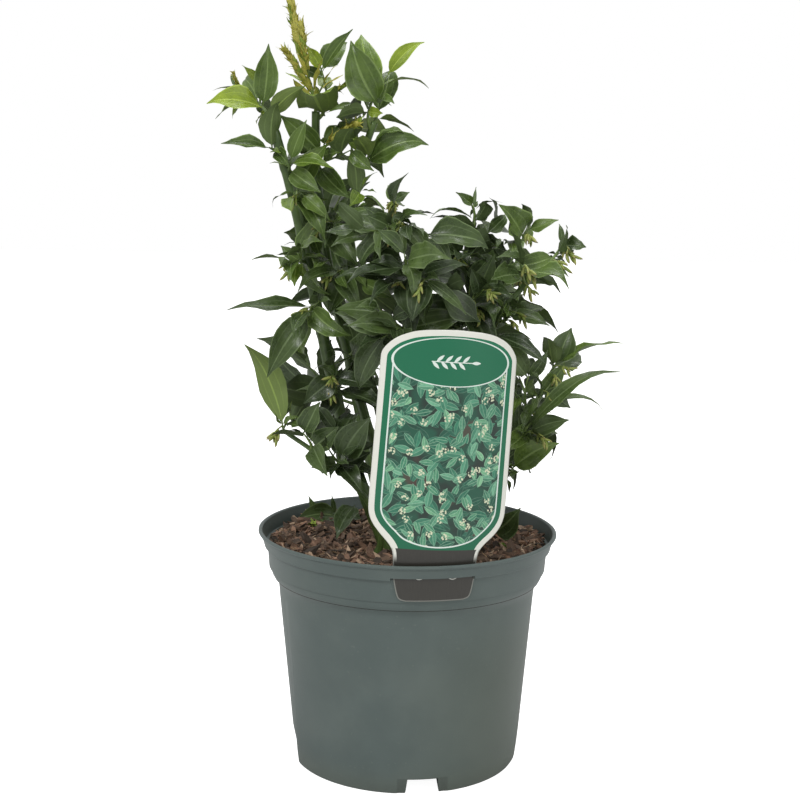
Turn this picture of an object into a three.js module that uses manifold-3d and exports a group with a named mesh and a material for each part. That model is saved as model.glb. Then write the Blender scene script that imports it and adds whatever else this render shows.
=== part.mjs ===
// A fragrant sweet box shrub in its nursery pot, with a plant label in the rim.
// Millimetres, +Z up, the viewer's side is -Y. The origin is the middle of the pot's flat underside.
import * as THREE from 'three';
import { mergeVertices } from 'three/addons/utils/BufferGeometryUtils.js';
import Module from 'manifold-3d';

const wasm = await Module();
wasm.setup();

const degree = Math.PI / 180;
const goldenTurn = 137.5 * degree;
const clearGap = 0.3;

// Colour, roughness and metalness of each kind of piece
const finishes = {
  pot: { color: 0x58645f, roughness: 0.5, metalness: 0 },
  soil: { color: 0x6f4d3a, roughness: 0.95, metalness: 0 },
  label: { color: 0x1f7a55, roughness: 0.35, metalness: 0 },
  cane: { color: 0x4a6335, roughness: 0.55, metalness: 0 },
  foliage: { color: 0x3c5a35, roughness: 0.4, metalness: 0 },
  youngFoliage: { color: 0xa3a544, roughness: 0.5, metalness: 0 },
};

// The pot is a 19 cm container. Its wall is drawn from radius and height stations.
const pot = {
  segments: 36,
  wallFrom: 60,
  rimTop: 150,
  outer: [
    [0, 0], [70.6, 0], [72.3, 2], [73.1, 9.8], [73.2, 10.6], [73.9, 18.6], [74, 19.4],
    [82.4, 112], [84.8, 118], [88.6, 123], [89.1, 126], [89.9, 136.2], [92.1, 136.8],
    [92.9, 140.6], [94.9, 148.8], [94.2, 150],
  ],
  inner: [
    [93, 149.7], [91.5, 140], [91.4, 138.3], [88.5, 137.8], [87.3, 124.6],
    [83, 118.6], [80.9, 112.4], [72.6, 19.4], [72.5, 18.6], [71.8, 10.6], [71.7, 9.8],
    [70.4, 1.8], [0, 1.8],
  ],
};

// Four drains run in from the wall's foot under a hood, and the wall steps in round each
const drain = {
  width: 19, innerWidth: 12, height: 9.8, reach: 26, hood: 1.5, holeRadius: 5, holeAt: 46, beyondWall: 80,
};
const drains = [
  { turn: 9.3, halfTurn: 13, top: 10.2, depth: 0.8 },
  { turn: 99.3, halfTurn: 13, top: 10.2, depth: 0.8 },
  { turn: 189.3, halfTurn: 13, top: 10.2, depth: 0.8 },
  { turn: 275, halfTurn: 19, top: 19, depth: 3.4 },
];

// The potting mix is level round the canes and humped nearer to the wall
const soil = {
  top: 136,
  segments: 30,
  flatRadius: 44,
  hump: 3,
  edge: 87.9,
  profile: [
    [0, 2.1], [65.4, 2.1], [67.6, 20], [72, 20.3], [80.4, 112.4], [82.5, 118.8], [86.2, 124.8],
    [87.9, 136], [82, 136], [74, 136], [65, 136], [55, 136], [44, 136], [0, 136],
  ],
};

// The label is a sheet bent to the rim, with a neck in the rim's slot and a tab under it
const label = {
  turn: 9.6,
  lean: 2,
  pivot: 140,
  radius: 90.35,
  thickness: 0.55,
  columns: 8,
  outline: [
    [127.6, 16.5], [128.6, 19.4], [131, 21], [143.5, 23.7], [153, 24], [158, 25], [162, 27.6], [166, 32.2],
    [171, 37.4], [177, 41.2], [184, 42.7], [218, 42.7], [252, 42.7], [263, 42], [271, 40], [277.5, 36.4],
    [282.4, 31], [285.6, 23.5], [287, 14.5], [287.5, 5],
  ],
};
const slot = { halfTurn: 16.8, low: 133, high: 141, inner: 90.05, outer: 91.2 };

// Canes rise from a flat cut at soil level. Each has the four points of a cubic curve,
// and its radius at the foot and at the tip.
const canes = {
  main_cane: {
    foot: 3.6, tip: 2.5,
    path: [[-12, -2, 136], [-55, -6, 221], [-57, -10, 318], [-89, -8, 407]],
  },
  centre_cane: {
    foot: 2.9, tip: 2.1,
    path: [[-3, 12, 136], [-30, 6, 227], [-64, 15, 318], [-62, 6, 413]],
  },
  right_cane: { foot: 2.6, tip: 1.8, path: [[5, -3, 136], [-13, 2, 224], [-64, -1, 317], [-25, 0, 407]] },
  middle_cane: {
    foot: 2.4, tip: 1.5,
    path: [[13, -15, 136], [13, -20, 211], [-5, -38, 282], [-14, -34, 356]],
  },
  dome_cane: { foot: 2.4, tip: 1.4, path: [[22, 4, 136], [23, 3, 203], [30, -12, 277], [85, -10, 323]] },
  dome_rear_cane: {
    foot: 2.3, tip: 1.4,
    path: [[10, 16, 136], [8, 19, 208], [26, 18, 277], [39, 18, 346]],
  },
  low_right_cane: {
    foot: 2.2, tip: 1.3,
    path: [[31, -8, 136], [34, -11, 183], [72, -21, 213], [87, -18, 254]],
  },
  low_left_cane: {
    foot: 1.8, tip: 1.1,
    path: [[-19, -17, 136], [-6, -23, 169], [-53, -30, 201], [-77, -28, 216]],
  },
  back_left_cane: {
    foot: 2.6, tip: 1.6,
    path: [[-14, 26, 136], [-27, 40, 193], [-45, 56, 250], [-52, 62, 310]],
  },
  back_right_cane: {
    foot: 2.4, tip: 1.5,
    path: [[24, 26, 136], [31, 43, 183], [54, 56, 225], [60, 64, 275]],
  },
};
const caneForm = { sides: 6, stepLength: 23, flare: 0.4, flareReach: 0.06 };

// Masses of foliage. Each grows from one stem, off a cane at a share of its length, towards a tip.
// leaves and leaf are the number on the stem and their usual length; spread is their angle to
// the stem at its foot and tip; wide is width over length; bare is the share with no leaves.
// A lead is a leaf that makes the crown's outline: its share of the stem, the tip that it reaches,
// its roll from face up to facing the viewer, its width over its length, and its arch in degrees.
const masses = {
  left_crown: {
    on: 'main_cane', at: 1, tip: [-109, 2, 425], leaves: 4, leaf: 22, seed: 3775, bare: 0.5,
    spread: [60, 20],
    leads: [
      [0.4, [-90, -12, 452], 88, 0.4, 8],
      [0.35, [-126, -22, 417], 45, 0.42, 25],
      [0.68, [-125, -4, 425], 5, 0.3, 50],
      [0.06, [-67, -18, 427], -60, 0.36, 20],
      [0.98, [-116, 12, 436], 82, 0.25, 14],
      [0.55, [-110, 22, 435], 92, 0.3, 14],
    ],
  },
  left_upper: {
    on: 'main_cane', at: 0.93, tip: [-89, -14, 390], leaves: 4, leaf: 26, seed: 2457, bare: 0.3,
    leads: [
      [0.9, [-117, -26, 392], 40, 0.38, 16],
    ],
  },
  left_inner: {
    on: 'main_cane', at: 0.88, tip: [-76, -16, 383], leaves: 4, leaf: 28, seed: 4119,
    leads: [
      [0.9, [-66, -18, 407], 85, 0.36, 10],
    ],
  },
  left_mid: {
    on: 'main_cane', at: 0.83, tip: [-68, -20, 362], leaves: 5, leaf: 34, seed: 24580,
    leads: [
      [0.2, [-89, -16, 356], 12, 0.25, 55],
      [0.95, [-51, -30, 348], 75, 0.42, 12],
    ],
  },
  left_waist: {
    on: 'main_cane', at: 0.68, tip: [-74, -22, 321], leaves: 5, leaf: 32, seed: 48493, twigs: 1,
    leads: [
      [0.95, [-102, -26, 321], 6, 0.2, 35],
      [0.3, [-82, -12, 331], 70, 0.42, 14],
      [0.6, [-72, -28, 307], 70, 0.5, 14],
    ],
  },
  left_reach: {
    on: 'main_cane', at: 0.58, tip: [-63, -26, 291], leaves: 3, leaf: 34, seed: 10641,
    leads: [
      [0.3, [-113, -30, 294], 28, 0.2, 12],
      [0.95, [-88, -36, 251], 88, 0.37, 10],
    ],
  },
  left_low: {
    on: 'main_cane', at: 0.38, tip: [-47, -18, 250], leaves: 5, leaf: 32, seed: 17308,
    leads: [
      [0.95, [-66, -26, 234], 80, 0.6, 14],
      [0.98, [-21, -24, 246], 60, 0.45, 14],
      [0.1, [-21, -22, 232], 15, 0.25, 25],
      [0.15, [-56, -20, 221], 75, 0.55, 14],
    ],
  },
  low_left_tip: {
    on: 'low_left_cane', at: 1, tip: [-79, -28, 221], leaves: 2, leaf: 16, seed: 4779, bare: 0.5,
    leads: [
      [0.5, [-102, -30, 272], -40, 0.27, 70],
    ],
  },
  low_left_mid: {
    on: 'low_left_cane', at: 0.8, tip: [-66, -34, 217], leaves: 4, leaf: 28, seed: 57903,
    leads: [
      [0.95, [-56, -38, 237], 55, 0.6, 20],
      [0.5, [-60, -22, 227], 88, 0.4, 14],
      [0.1, [-44, -40, 222], 80, 0.62, 14],
    ],
  },
  low_front_left: {
    on: 'low_left_cane', at: 0.62, tip: [-42, -40, 202], leaves: 5, leaf: 30, seed: 230, twigs: 1,
    leads: [
      [0.9, [-24, -44, 229], 85, 0.58, 14],
      [0.52, [-24, -42, 207], 80, 0.6, 14],
      [0.3, [-60, -46, 197], 50, 0.6, 14],
    ],
  },
  inner_left_low: {
    on: 'centre_cane', at: 0.45, tip: [-34, -8, 256], leaves: 6, leaf: 34, seed: 3348, twigs: 1,
    leads: [
      [0.95, [-52, -16, 267], 12, 0.25, 50],
    ],
  },
  young_spike: {
    on: 'centre_cane', at: 1, tip: [-69, 4, 440], leaves: 5, leaf: 20, seed: 403, bare: 0.3, wide: 0.18,
    spread: [16, 6], young: true,
    leads: [
      [0.98, [-78, 4, 479], 88, 0.15, 8],
      [0.8, [-70, -4, 459], 80, 0.16, 6],
    ],
  },
  centre_crown: {
    on: 'centre_cane', at: 0.98, tip: [-60, 4, 442], leaves: 5, leaf: 26, seed: 14079, bare: 0.3,
    leads: [
      [0.16, [-61, -30, 423], 0, 0.62, 30],
      [0.93, [-68, 6, 453], 88, 0.45, 14],
      [0.9, [-39, -6, 462], 50, 0.24, 25],
      [0.93, [-43, 16, 458], 70, 0.5, 14],
      [0.25, [-35, 14, 419], 20, 0.3, 14],
    ],
  },
  centre_upper: {
    on: 'centre_cane', at: 0.88, tip: [-56, -4, 393], leaves: 5, leaf: 30, seed: 1817, twigs: 1,
    leads: [
      [0.06, [-39, -14, 360], 82, 0.4, 12],
      [0.6, [-47, -10, 388], 85, 0.62, 14],
      [0.98, [-45, 2, 406], 60, 0.5, 14],
    ],
  },
  centre_mid: {
    on: 'centre_cane', at: 0.74, tip: [-49, -14, 346], leaves: 6, leaf: 34, seed: 5612, twigs: 1,
    leads: [
      [0.95, [-25, -22, 355], 30, 0.3, 14],
    ],
  },
  centre_waist: {
    on: 'centre_cane', at: 0.63, tip: [-44, -18, 316], leaves: 7, leaf: 34, seed: 2811, twigs: 2,
    leads: [
      [0.97, [-70, -38, 307], 35, 0.36, 30],
    ],
  },
  right_crown: {
    on: 'right_cane', at: 1, tip: [-23, -6, 418], leaves: 4, leaf: 30, seed: 2339, bare: 0.2,
    leads: [
      [0.9, [-40, -12, 455], 85, 0.52, 14],
    ],
  },
  right_crown_tip: {
    on: 'right_cane', at: 0.98, tip: [-17, -2, 436], leaves: 4, leaf: 26, seed: 24729, bare: 0.4,
    leads: [
      [0.98, [4, -6, 457], 65, 0.3, 25],
      [0.8, [9, 6, 430], 8, 0.18, 60],
      [0.42, [-20, -10, 412], 80, 0.6, 14],
      [0.7, [-35, 16, 463], 80, 0.4, 14],
    ],
  },
  right_crown_inner: {
    on: 'right_cane', at: 0.93, tip: [-34, 10, 431], leaves: 5, leaf: 30, seed: 576,
    leads: [
      [0.5, [-46, 4, 412], 50, 0.5, 14],
      [0.06, [-44, -10, 397], 75, 0.45, 14],
    ],
  },
  right_upper: {
    on: 'right_cane', at: 0.9, tip: [-24, -8, 396], leaves: 4, leaf: 28, seed: 4392,
    leads: [
      [0.23, [8, -14, 397], 60, 0.42, 35],
      [0.95, [-6, -12, 402], 20, 0.3, 60],
    ],
  },
  right_upper_inner: {
    on: 'right_cane', at: 0.82, tip: [-33, -10, 365], leaves: 4, leaf: 26, seed: 2125,
    leads: [
      [0.9, [-39, -20, 356], 80, 0.62, 14],
      [0.5, [-17, -16, 348], 15, 0.22, 80],
    ],
  },
  right_mid: {
    on: 'right_cane', at: 0.75, tip: [-23, -22, 339], leaves: 6, leaf: 34, seed: 26996, twigs: 1,
    leads: [
      [0.97, [-49, -38, 334], 55, 0.38, 20],
    ],
  },
  middle_crown: {
    on: 'middle_cane', at: 1, tip: [-12, -34, 360], leaves: 3, leaf: 16, seed: 13149,
    leads: [
      [0.9, [-3, -36, 365], 70, 0.55, 14],
      [0.6, [-16, -26, 369], 70, 0.45, 14],
    ],
  },
  middle_left: {
    on: 'middle_cane', at: 0.93, tip: [-15, -44, 345], leaves: 6, leaf: 32, seed: 3082, twigs: 1,
    leads: [
      [0.9, [-28, -48, 351], 80, 0.7, 14],
      [0.4, [-2, -54, 333], 80, 0.55, 14],
    ],
  },
  middle_right: {
    on: 'middle_cane', at: 0.96, tip: [-7, -36, 347], leaves: 5, leaf: 34, seed: 513, twigs: 1,
    leads: [
      [0.3, [16, -32, 351], 20, 0.2, 45],
    ],
  },
  middle_low: {
    on: 'middle_cane', at: 0.8, tip: [7, -52, 314], leaves: 8, leaf: 34, seed: 753, twigs: 2,
    leads: [
      [0.15, [-46, -44, 317], 40, 0.22, 20],
      [0.5, [-26, -66, 303], 20, 0.3, 14],
      [0.97, [0, -66, 290], 88, 0.5, 14],
      [0.98, [32, -62, 295], 65, 0.22, 14],
    ],
  },
  front_left: {
    on: 'middle_cane', at: 0.66, tip: [-9, -54, 284], leaves: 8, leaf: 34, seed: 2665, twigs: 2,
    leads: [
      [0.9, [-24, -60, 291], 30, 0.3, 14],
    ],
  },
  dome_top: {
    on: 'dome_rear_cane', at: 1, tip: [38, 16, 357], leaves: 3, leaf: 16, seed: 21139, bare: 0.4,
    leads: [
      [0.95, [27, 10, 365], 60, 0.4, 20],
      [0.82, [40, 26, 368], 88, 0.16, 14],
      [0.7, [56, 8, 359], 20, 0.22, 60],
      [0.1, [10, 2, 353], 15, 0.2, 45],
    ],
  },
  dome_top_left: {
    on: 'dome_rear_cane', at: 0.88, tip: [25, -6, 327], leaves: 5, leaf: 32, seed: 353, twigs: 1,
    leads: [
      [0.95, [-1, -24, 332], 55, 0.5, 30],
      [0.77, [9, -20, 310], 85, 0.6, 14],
      [0.52, [17, -10, 345], 88, 0.6, 14],
    ],
  },
  dome_centre: {
    on: 'dome_rear_cane', at: 0.9, tip: [47, 4, 340], leaves: 6, leaf: 32, seed: 54696, twigs: 1,
  },
  dome_front: {
    on: 'dome_rear_cane', at: 0.68, tip: [43, -36, 307], leaves: 7, leaf: 34, seed: 38795, twigs: 2,
    leads: [
      [0.95, [60, -44, 304], 60, 0.5, 14],
      [0.9, [35, -42, 320], 75, 0.5, 14],
    ],
  },
  dome_end: {
    on: 'dome_cane', at: 1, tip: [93, -6, 335], leaves: 4, leaf: 20, seed: 7131, bare: 0.3,
    leads: [
      [0.95, [91, -4, 347], 80, 0.3, 14],
      [0.9, [107, -14, 333], 50, 0.6, 30],
      [0.4, [58, -14, 320], 80, 0.42, 14],
    ],
  },
  dome_upper: {
    on: 'dome_cane', at: 0.8, tip: [73, 2, 344], leaves: 6, leaf: 32, seed: 2228, twigs: 1,
    leads: [
      [0.98, [90, -4, 350], 62, 0.42, 18],
      [0.9, [54, -16, 358], 60, 0.6, 14],
    ],
  },
  dome_side: {
    on: 'dome_cane', at: 0.9, tip: [66, -22, 323], leaves: 5, leaf: 32, seed: 2810, twigs: 1,
  },
  dome_low: {
    on: 'dome_cane', at: 0.76, tip: [63, -12, 292], leaves: 3, leaf: 26, seed: 49380,
    leads: [
      [0.7, [85, -22, 284], 55, 0.36, 40],
    ],
  },
  dome_under: {
    on: 'dome_cane', at: 0.7, tip: [51, -26, 279], leaves: 4, leaf: 32, seed: 3900,
    leads: [
      [0.9, [82, -44, 264], 35, 0.32, 25],
    ],
  },
  low_right_tip: {
    on: 'low_right_cane', at: 1, tip: [91, -16, 261], leaves: 3, leaf: 26, seed: 3122, bare: 0.3,
    leads: [
      [0.9, [100, -14, 283], 88, 0.62, 14],
      [0.87, [127, -44, 279], 30, 0.22, 20],
      [0.6, [110, 4, 267], 60, 0.5, 14],
    ],
  },
  low_right_mid: {
    on: 'low_right_cane', at: 0.84, tip: [82, -28, 245], leaves: 3, leaf: 26, seed: 4360,
    leads: [
      [0.95, [99, -32, 235], 75, 0.6, 14],
      [0.1, [121, -28, 238], 8, 0.14, 35],
    ],
  },
  low_right_inner: {
    on: 'low_right_cane', at: 0.78, tip: [73, -24, 253], leaves: 3, leaf: 24, seed: 52572,
    leads: [
      [0.97, [55, -24, 277], 70, 0.5, 14],
      [0.98, [84, -28, 270], 85, 0.36, 14],
    ],
  },
  low_right_low: {
    on: 'low_right_cane', at: 0.66, tip: [75, -30, 220], leaves: 3, leaf: 26, seed: 34414,
    leads: [
      [0.9, [98, -34, 228], 75, 0.5, 14],
      [0.62, [120, -54, 267], 37, 0.14, 31],
      [0.25, [67, -24, 238], 88, 0.42, 14],
    ],
  },
  low_right_foot: {
    on: 'low_right_cane', at: 0.5, tip: [65, -26, 195], leaves: 3, leaf: 24, seed: 3007,
    leads: [
      [0.95, [91, -36, 214], 65, 0.5, 16],
      [0.9, [66, -24, 187], 60, 0.4, 14],
    ],
  },
  back_left_crown: {
    on: 'back_left_cane', at: 1, tip: [-60, 70, 356], leaves: 9, leaf: 40, seed: 3720, twigs: 2,
  },
  back_left_low: {
    on: 'back_left_cane', at: 0.5, tip: [-72, 62, 232], leaves: 8, leaf: 42, seed: 3814, twigs: 2,
  },
  back_left_mid: {
    on: 'back_left_cane', at: 0.8, tip: [-30, 88, 290], leaves: 9, leaf: 42, seed: 11849, twigs: 2,
  },
  back_right_crown: {
    on: 'back_right_cane', at: 1, tip: [68, 66, 312], leaves: 9, leaf: 40, seed: 31091, twigs: 2,
  },
  back_right_mid: {
    on: 'back_right_cane', at: 0.7, tip: [26, 92, 262], leaves: 8, leaf: 42, seed: 3732, twigs: 2,
  },
  back_right_low: {
    on: 'back_right_cane', at: 0.5, tip: [82, 46, 222], leaves: 8, leaf: 42, seed: 1863, twigs: 2,
  },
};

// The leaf: a stalk, the broadest place, a shoulder and a drawn-out tip, as shares of its length
const leafForm = {
  wide: 0.42,
  stalk: 0.1,
  stalkWidth: 1.4,
  broadest: 0.36,
  shoulder: 0.68,
  shoulderWidth: 0.66,
  fold: 0.22,
  thickness: 0.02,
  solidBroadest: 0.44,
  keelAt: 0.5,
  sunk: 0.25,
};
const shootForm = { radius: 1.1, taper: 0.55, sides: 3, steps: 3, leafSpread: [72, 30], bare: 0.25 };
const twigForm = { radius: 0.75, taper: 0.5, sides: 3, steps: 2, leaves: 3, bare: 0.45 };
const budForm = { length: 6, radius: 1.3, share: 0.12 };
// How a leaf hangs, where its upper face turns, and how far it wanders, arches and widens
const leafPose = { hang: 0.3, up: 0.55, outward: 0.55, forward: 0.25, wander: 1.2, curl: 6, moreCurl: 44 };
const leafSize = { least: 0.78, more: 0.4, swing: 50, moreSwing: 25, lean: 36, widest: 0.85, wider: 0.3 };
// A stem leaves its cane between along and out, and bends at its knee
const shootStart = { along: 0.6, out: 0.8, knee: 0.35 };
const twigStart = { first: 0.3, last: 0.45, spread: 35, moreSpread: 25, rise: 0.15, size: 0.45, bend: 0.35 };
// Clear room round blades and limbs, and the space that foliage keeps to
const clearance = { blade: 1.9, edge: 0.8, wood: 1.5, ownRoot: 7, bud: 0.7 };
const bounds = { viewerSide: -80, labelTop: 300, aboveSoil: 2.5, aboveRim: 5, rimReach: 84 };
// How the seed of a leaf, a further attempt at it, and its buds come from the mass's own seed
const seeding = { mass: 53, leaf: 977, attempt: 131, attempts: 5, bud: 7 };

const point = (place) => new THREE.Vector3(...place);

// Solids and meshes

function toSolid(geometry) {
  const bare = geometry.clone();
  bare.deleteAttribute('normal');
  bare.deleteAttribute('uv');
  const merged = mergeVertices(bare, 1e-4);
  const vertProperties = new Float32Array(merged.attributes.position.array);
  const triVerts = new Uint32Array(merged.index.array);
  return new wasm.Manifold(new wasm.Mesh({ numProp: 3, vertProperties, triVerts }));
}

function toGeometry(solid) {
  const { vertProperties, triVerts } = solid.getMesh();
  const geometry = new THREE.BufferGeometry();
  geometry.setAttribute('position', new THREE.BufferAttribute(vertProperties, 3));
  geometry.setIndex(new THREE.BufferAttribute(triVerts, 1));
  geometry.computeVertexNormals();
  return geometry;
}

function moveVertices(geometry, move) {
  const places = geometry.attributes.position;
  const vertex = new THREE.Vector3();
  for (let i = 0; i < places.count; i += 1) {
    vertex.fromBufferAttribute(places, i);
    move(vertex);
    places.setXYZ(i, vertex.x, vertex.y, vertex.z);
  }
  return geometry;
}

// A profile of [radius, height] pairs turned about +Z, starting from the viewer's side
function turned(profile, segments) {
  const points = profile.map(([radius, height]) => new THREE.Vector2(radius, height));
  return new THREE.LatheGeometry(points, segments).rotateX(90 * degree);
}

function named(name, geometry, finish) {
  const mesh = new THREE.Mesh(geometry, new THREE.MeshStandardMaterial(finishes[finish]));
  mesh.name = name;
  return mesh;
}

// Pot, potting mix and label

function turnFromFront(vertex) {
  return Math.atan2(vertex.x, -vertex.y) / degree;
}

function stepWallIn(vertex) {
  const radius = Math.hypot(vertex.x, vertex.y);
  if (radius < pot.wallFrom) return;
  for (const { turn, halfTurn, top, depth } of drains) {
    const off = ((turnFromFront(vertex) - turn + 540) % 360) - 180;
    if (Math.abs(off) < halfTurn && vertex.z < top) {
      vertex.x *= 1 - depth / radius;
      vertex.y *= 1 - depth / radius;
    }
  }
}

// A drain's channel is a wedge that narrows inwards; grow makes its hood, and the room for that
function drainWedge(turn, grow, low, high) {
  const half = drain.width / 2 + grow;
  const innerHalf = drain.innerWidth / 2 + grow;
  const shape = new THREE.Shape([
    new THREE.Vector2(-innerHalf, -drain.reach + grow),
    new THREE.Vector2(-half, -drain.beyondWall),
    new THREE.Vector2(half, -drain.beyondWall),
    new THREE.Vector2(innerHalf, -drain.reach + grow),
  ]);
  const wedge = new THREE.ExtrudeGeometry(shape, { depth: high - low, bevelEnabled: false });
  return toSolid(wedge.translate(0, 0, low).rotateZ(turn * degree));
}

function drainHole(turn) {
  const depth = 3 * drain.hood + 4;
  const hole = new THREE.CylinderGeometry(drain.holeRadius, drain.holeRadius, depth, 12);
  hole.rotateX(90 * degree).translate(0, -drain.holeAt, drain.height);
  return toSolid(hole.rotateZ(turn * degree));
}

function labelSlot() {
  const start = (label.turn - slot.halfTurn - 90) * degree;
  const end = (label.turn + slot.halfTurn - 90) * degree;
  const band = new THREE.Shape();
  band.absarc(0, 0, slot.outer, start, end, false);
  band.absarc(0, 0, slot.inner, end, start, true);
  const depth = slot.high - slot.low;
  const cut = new THREE.ExtrudeGeometry(band, { depth, bevelEnabled: false, curveSegments: 20 });
  return toSolid(cut.translate(0, 0, slot.low));
}

function potGeometry() {
  const wall = moveVertices(turned([...pot.outer, ...pot.inner], pot.segments), stepWallIn);
  const filled = moveVertices(turned([...pot.outer, [0, pot.rimTop]], pot.segments), stepWallIn);
  const within = toSolid(filled);
  let solid = toSolid(wall);
  for (const { turn } of drains) {
    const hood = drainWedge(turn, drain.hood, 0, drain.height + drain.hood);
    solid = solid.add(hood.intersect(within));
  }
  for (const { turn } of drains) {
    solid = solid.subtract(drainWedge(turn, 0, -1, drain.height)).subtract(drainHole(turn));
  }
  return toGeometry(solid.subtract(labelSlot()));
}

function humpSoil(vertex) {
  const radius = Math.hypot(vertex.x, vertex.y);
  if (vertex.z < soil.top - 1 || radius < soil.flatRadius + 1) return;
  const angle = Math.atan2(vertex.y, vertex.x);
  const wave = 0.5 + 0.3 * Math.sin(5 * angle + radius / 6) + 0.2 * Math.sin(9 * angle - radius / 4);
  const edge = soil.edge;
  vertex.z += soil.hump * wave * Math.min(1, (edge - radius) / 5 + 0.3);
}

function soilGeometry() {
  let solid = toSolid(moveVertices(turned(soil.profile, soil.segments), humpSoil));
  const room = drain.hood + clearGap;
  for (const { turn } of drains) {
    solid = solid.subtract(drainWedge(turn, room, 0, drain.height + room));
  }
  return toGeometry(solid);
}

// A place on the label's face, from its distance off the middle line and its height
function labelPlace(off, height, radius) {
  const lean = label.lean * degree;
  const along = off * Math.cos(lean) + (height - label.pivot) * Math.sin(lean);
  const rise = (height - label.pivot) * Math.cos(lean) - off * Math.sin(lean);
  const turn = label.turn * degree + along / label.radius;
  return [radius * Math.sin(turn), -radius * Math.cos(turn), label.pivot + rise];
}

function labelGeometry() {
  const across = label.columns + 1;
  const rows = label.outline.length;
  const places = [];
  for (const radius of [label.radius, label.radius + label.thickness]) {
    for (const [height, half] of label.outline) {
      for (let i = 0; i < across; i += 1) {
        places.push(...labelPlace(half * (2 * i / label.columns - 1), height, radius));
      }
    }
  }
  const back = (row, i) => row * across + i;
  const front = (row, i) => (rows + row) * across + i;
  const faces = [];
  const quad = (a, b, c, d) => faces.push(a, b, c, a, c, d);
  for (let row = 0; row + 1 < rows; row += 1) {
    for (let i = 0; i < label.columns; i += 1) {
      quad(front(row, i), front(row, i + 1), front(row + 1, i + 1), front(row + 1, i));
      quad(back(row, i), back(row + 1, i), back(row + 1, i + 1), back(row, i + 1));
    }
    quad(front(row, 0), front(row + 1, 0), back(row + 1, 0), back(row, 0));
    const last = label.columns;
    quad(front(row, last), back(row, last), back(row + 1, last), front(row + 1, last));
  }
  for (let i = 0; i < label.columns; i += 1) {
    quad(front(0, i), back(0, i), back(0, i + 1), front(0, i + 1));
    quad(front(rows - 1, i), front(rows - 1, i + 1), back(rows - 1, i + 1), back(rows - 1, i));
  }
  const geometry = new THREE.BufferGeometry();
  geometry.setAttribute('position', new THREE.Float32BufferAttribute(places, 3));
  geometry.setIndex(faces);
  geometry.computeVertexNormals();
  return geometry;
}

// Limbs: a capped cylinder bent along a curve, tapering as radiusAt says

function limbGeometry(curve, radiusAt, sides, steps) {
  const { normals, binormals } = curve.computeFrenetFrames(steps);
  const limb = new THREE.CylinderGeometry(1, 1, 1, sides, steps);
  return moveVertices(limb, (vertex) => {
    const share = vertex.y + 0.5;
    const ring = Math.round(share * steps);
    const radius = radiusAt(share);
    const across = vertex.x * radius;
    const along = vertex.z * radius;
    vertex.copy(curve.getPointAt(share));
    vertex.addScaledVector(normals[ring], across).addScaledVector(binormals[ring], -along);
  });
}

function caneRadius(cane, share) {
  return cane.foot + (cane.tip - cane.foot) * share;
}

function caneCurve(cane) {
  return new THREE.CubicBezierCurve3(...cane.path.map(point));
}

function caneSteps(curve) {
  return Math.max(3, Math.round(curve.getLength() / caneForm.stepLength));
}

function caneGeometry(cane) {
  const curve = caneCurve(cane);
  const steps = caneSteps(curve);
  const radiusAt = (share) => {
    const flare = 1 + caneForm.flare * Math.max(0, 1 - share / caneForm.flareReach);
    return caneRadius(cane, share) * flare;
  };
  const geometry = limbGeometry(curve, radiusAt, caneForm.sides, steps);
  const footBand = cane.foot * 2;
  return moveVertices(geometry, (vertex) => {
    if (vertex.z < soil.top + footBand) vertex.z = soil.top + clearGap;
  });
}

// The growing rule

// Numbers between 0 and 1 that are the same for the same seed
function seededRandom(seed) {
  let state = seed * 7919 + 17;
  const next = () => {
    state = (state * 48271) % 2147483647;
    return state / 2147483647;
  };
  next();
  next();
  return next;
}

function bladeHalfWidth(leaf, share) {
  const half = leaf.width / 2;
  const stops = [
    [0, leafForm.stalkWidth / 2],
    [leafForm.stalk, leafForm.stalkWidth / 2],
    [leafForm.broadest, half],
    [leafForm.shoulder, half * leafForm.shoulderWidth],
    [1, 0],
  ];
  const next = stops.findIndex(([stop], i) => i > 0 && share <= stop);
  const [from, fromWidth] = stops[next - 1];
  const [to, toWidth] = stops[next];
  return fromWidth + (toWidth - fromWidth) * (share - from) / (to - from);
}

// A leaf arches over a circle of this radius
function archRadius(leaf) {
  return leaf.length / leaf.curl;
}

function bladePoint(leaf, share, across, lift = 0) {
  const radius = archRadius(leaf);
  const angle = share * leaf.curl;
  const height = lift + leafForm.fold * Math.abs(across);
  return leaf.root.clone()
    .addScaledVector(leaf.direction, Math.sin(angle) * (radius + height))
    .addScaledVector(leaf.face, Math.cos(angle) * (radius + height) - radius)
    .addScaledVector(leaf.side, across);
}

// Whether a place is in the blade, thickened by a margin on both faces
function insideBlade(place, leaf, margin) {
  const offset = place.clone().sub(leaf.root);
  if (offset.lengthSq() > (leaf.length + margin + 2) ** 2) return false;
  const radius = archRadius(leaf);
  const x = offset.dot(leaf.direction);
  const z = offset.dot(leaf.face) + radius;
  const across = offset.dot(leaf.side);
  const share = Math.atan2(x, z) / leaf.curl;
  if (share < 0 || share > 1.03) return false;
  const height = Math.hypot(x, z) - radius - leafForm.fold * Math.abs(across);
  const reach = bladeHalfWidth(leaf, Math.min(share, 1)) + clearance.edge;
  return Math.abs(height) < margin && Math.abs(across) < reach;
}

function bladeSamples(leaf) {
  const samples = [];
  for (let i = 2; i <= 15; i += 1) {
    const half = bladeHalfWidth(leaf, i / 15);
    for (const part of [-1, -0.5, 0, 0.5, 1]) {
      samples.push(bladePoint(leaf, i / 15, part * half));
    }
  }
  return samples;
}

function outwardAt(place) {
  const outward = new THREE.Vector3(place.x, place.y, 0);
  if (outward.lengthSq() < 1) outward.set(1, 0, 0);
  return outward.normalize();
}

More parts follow.
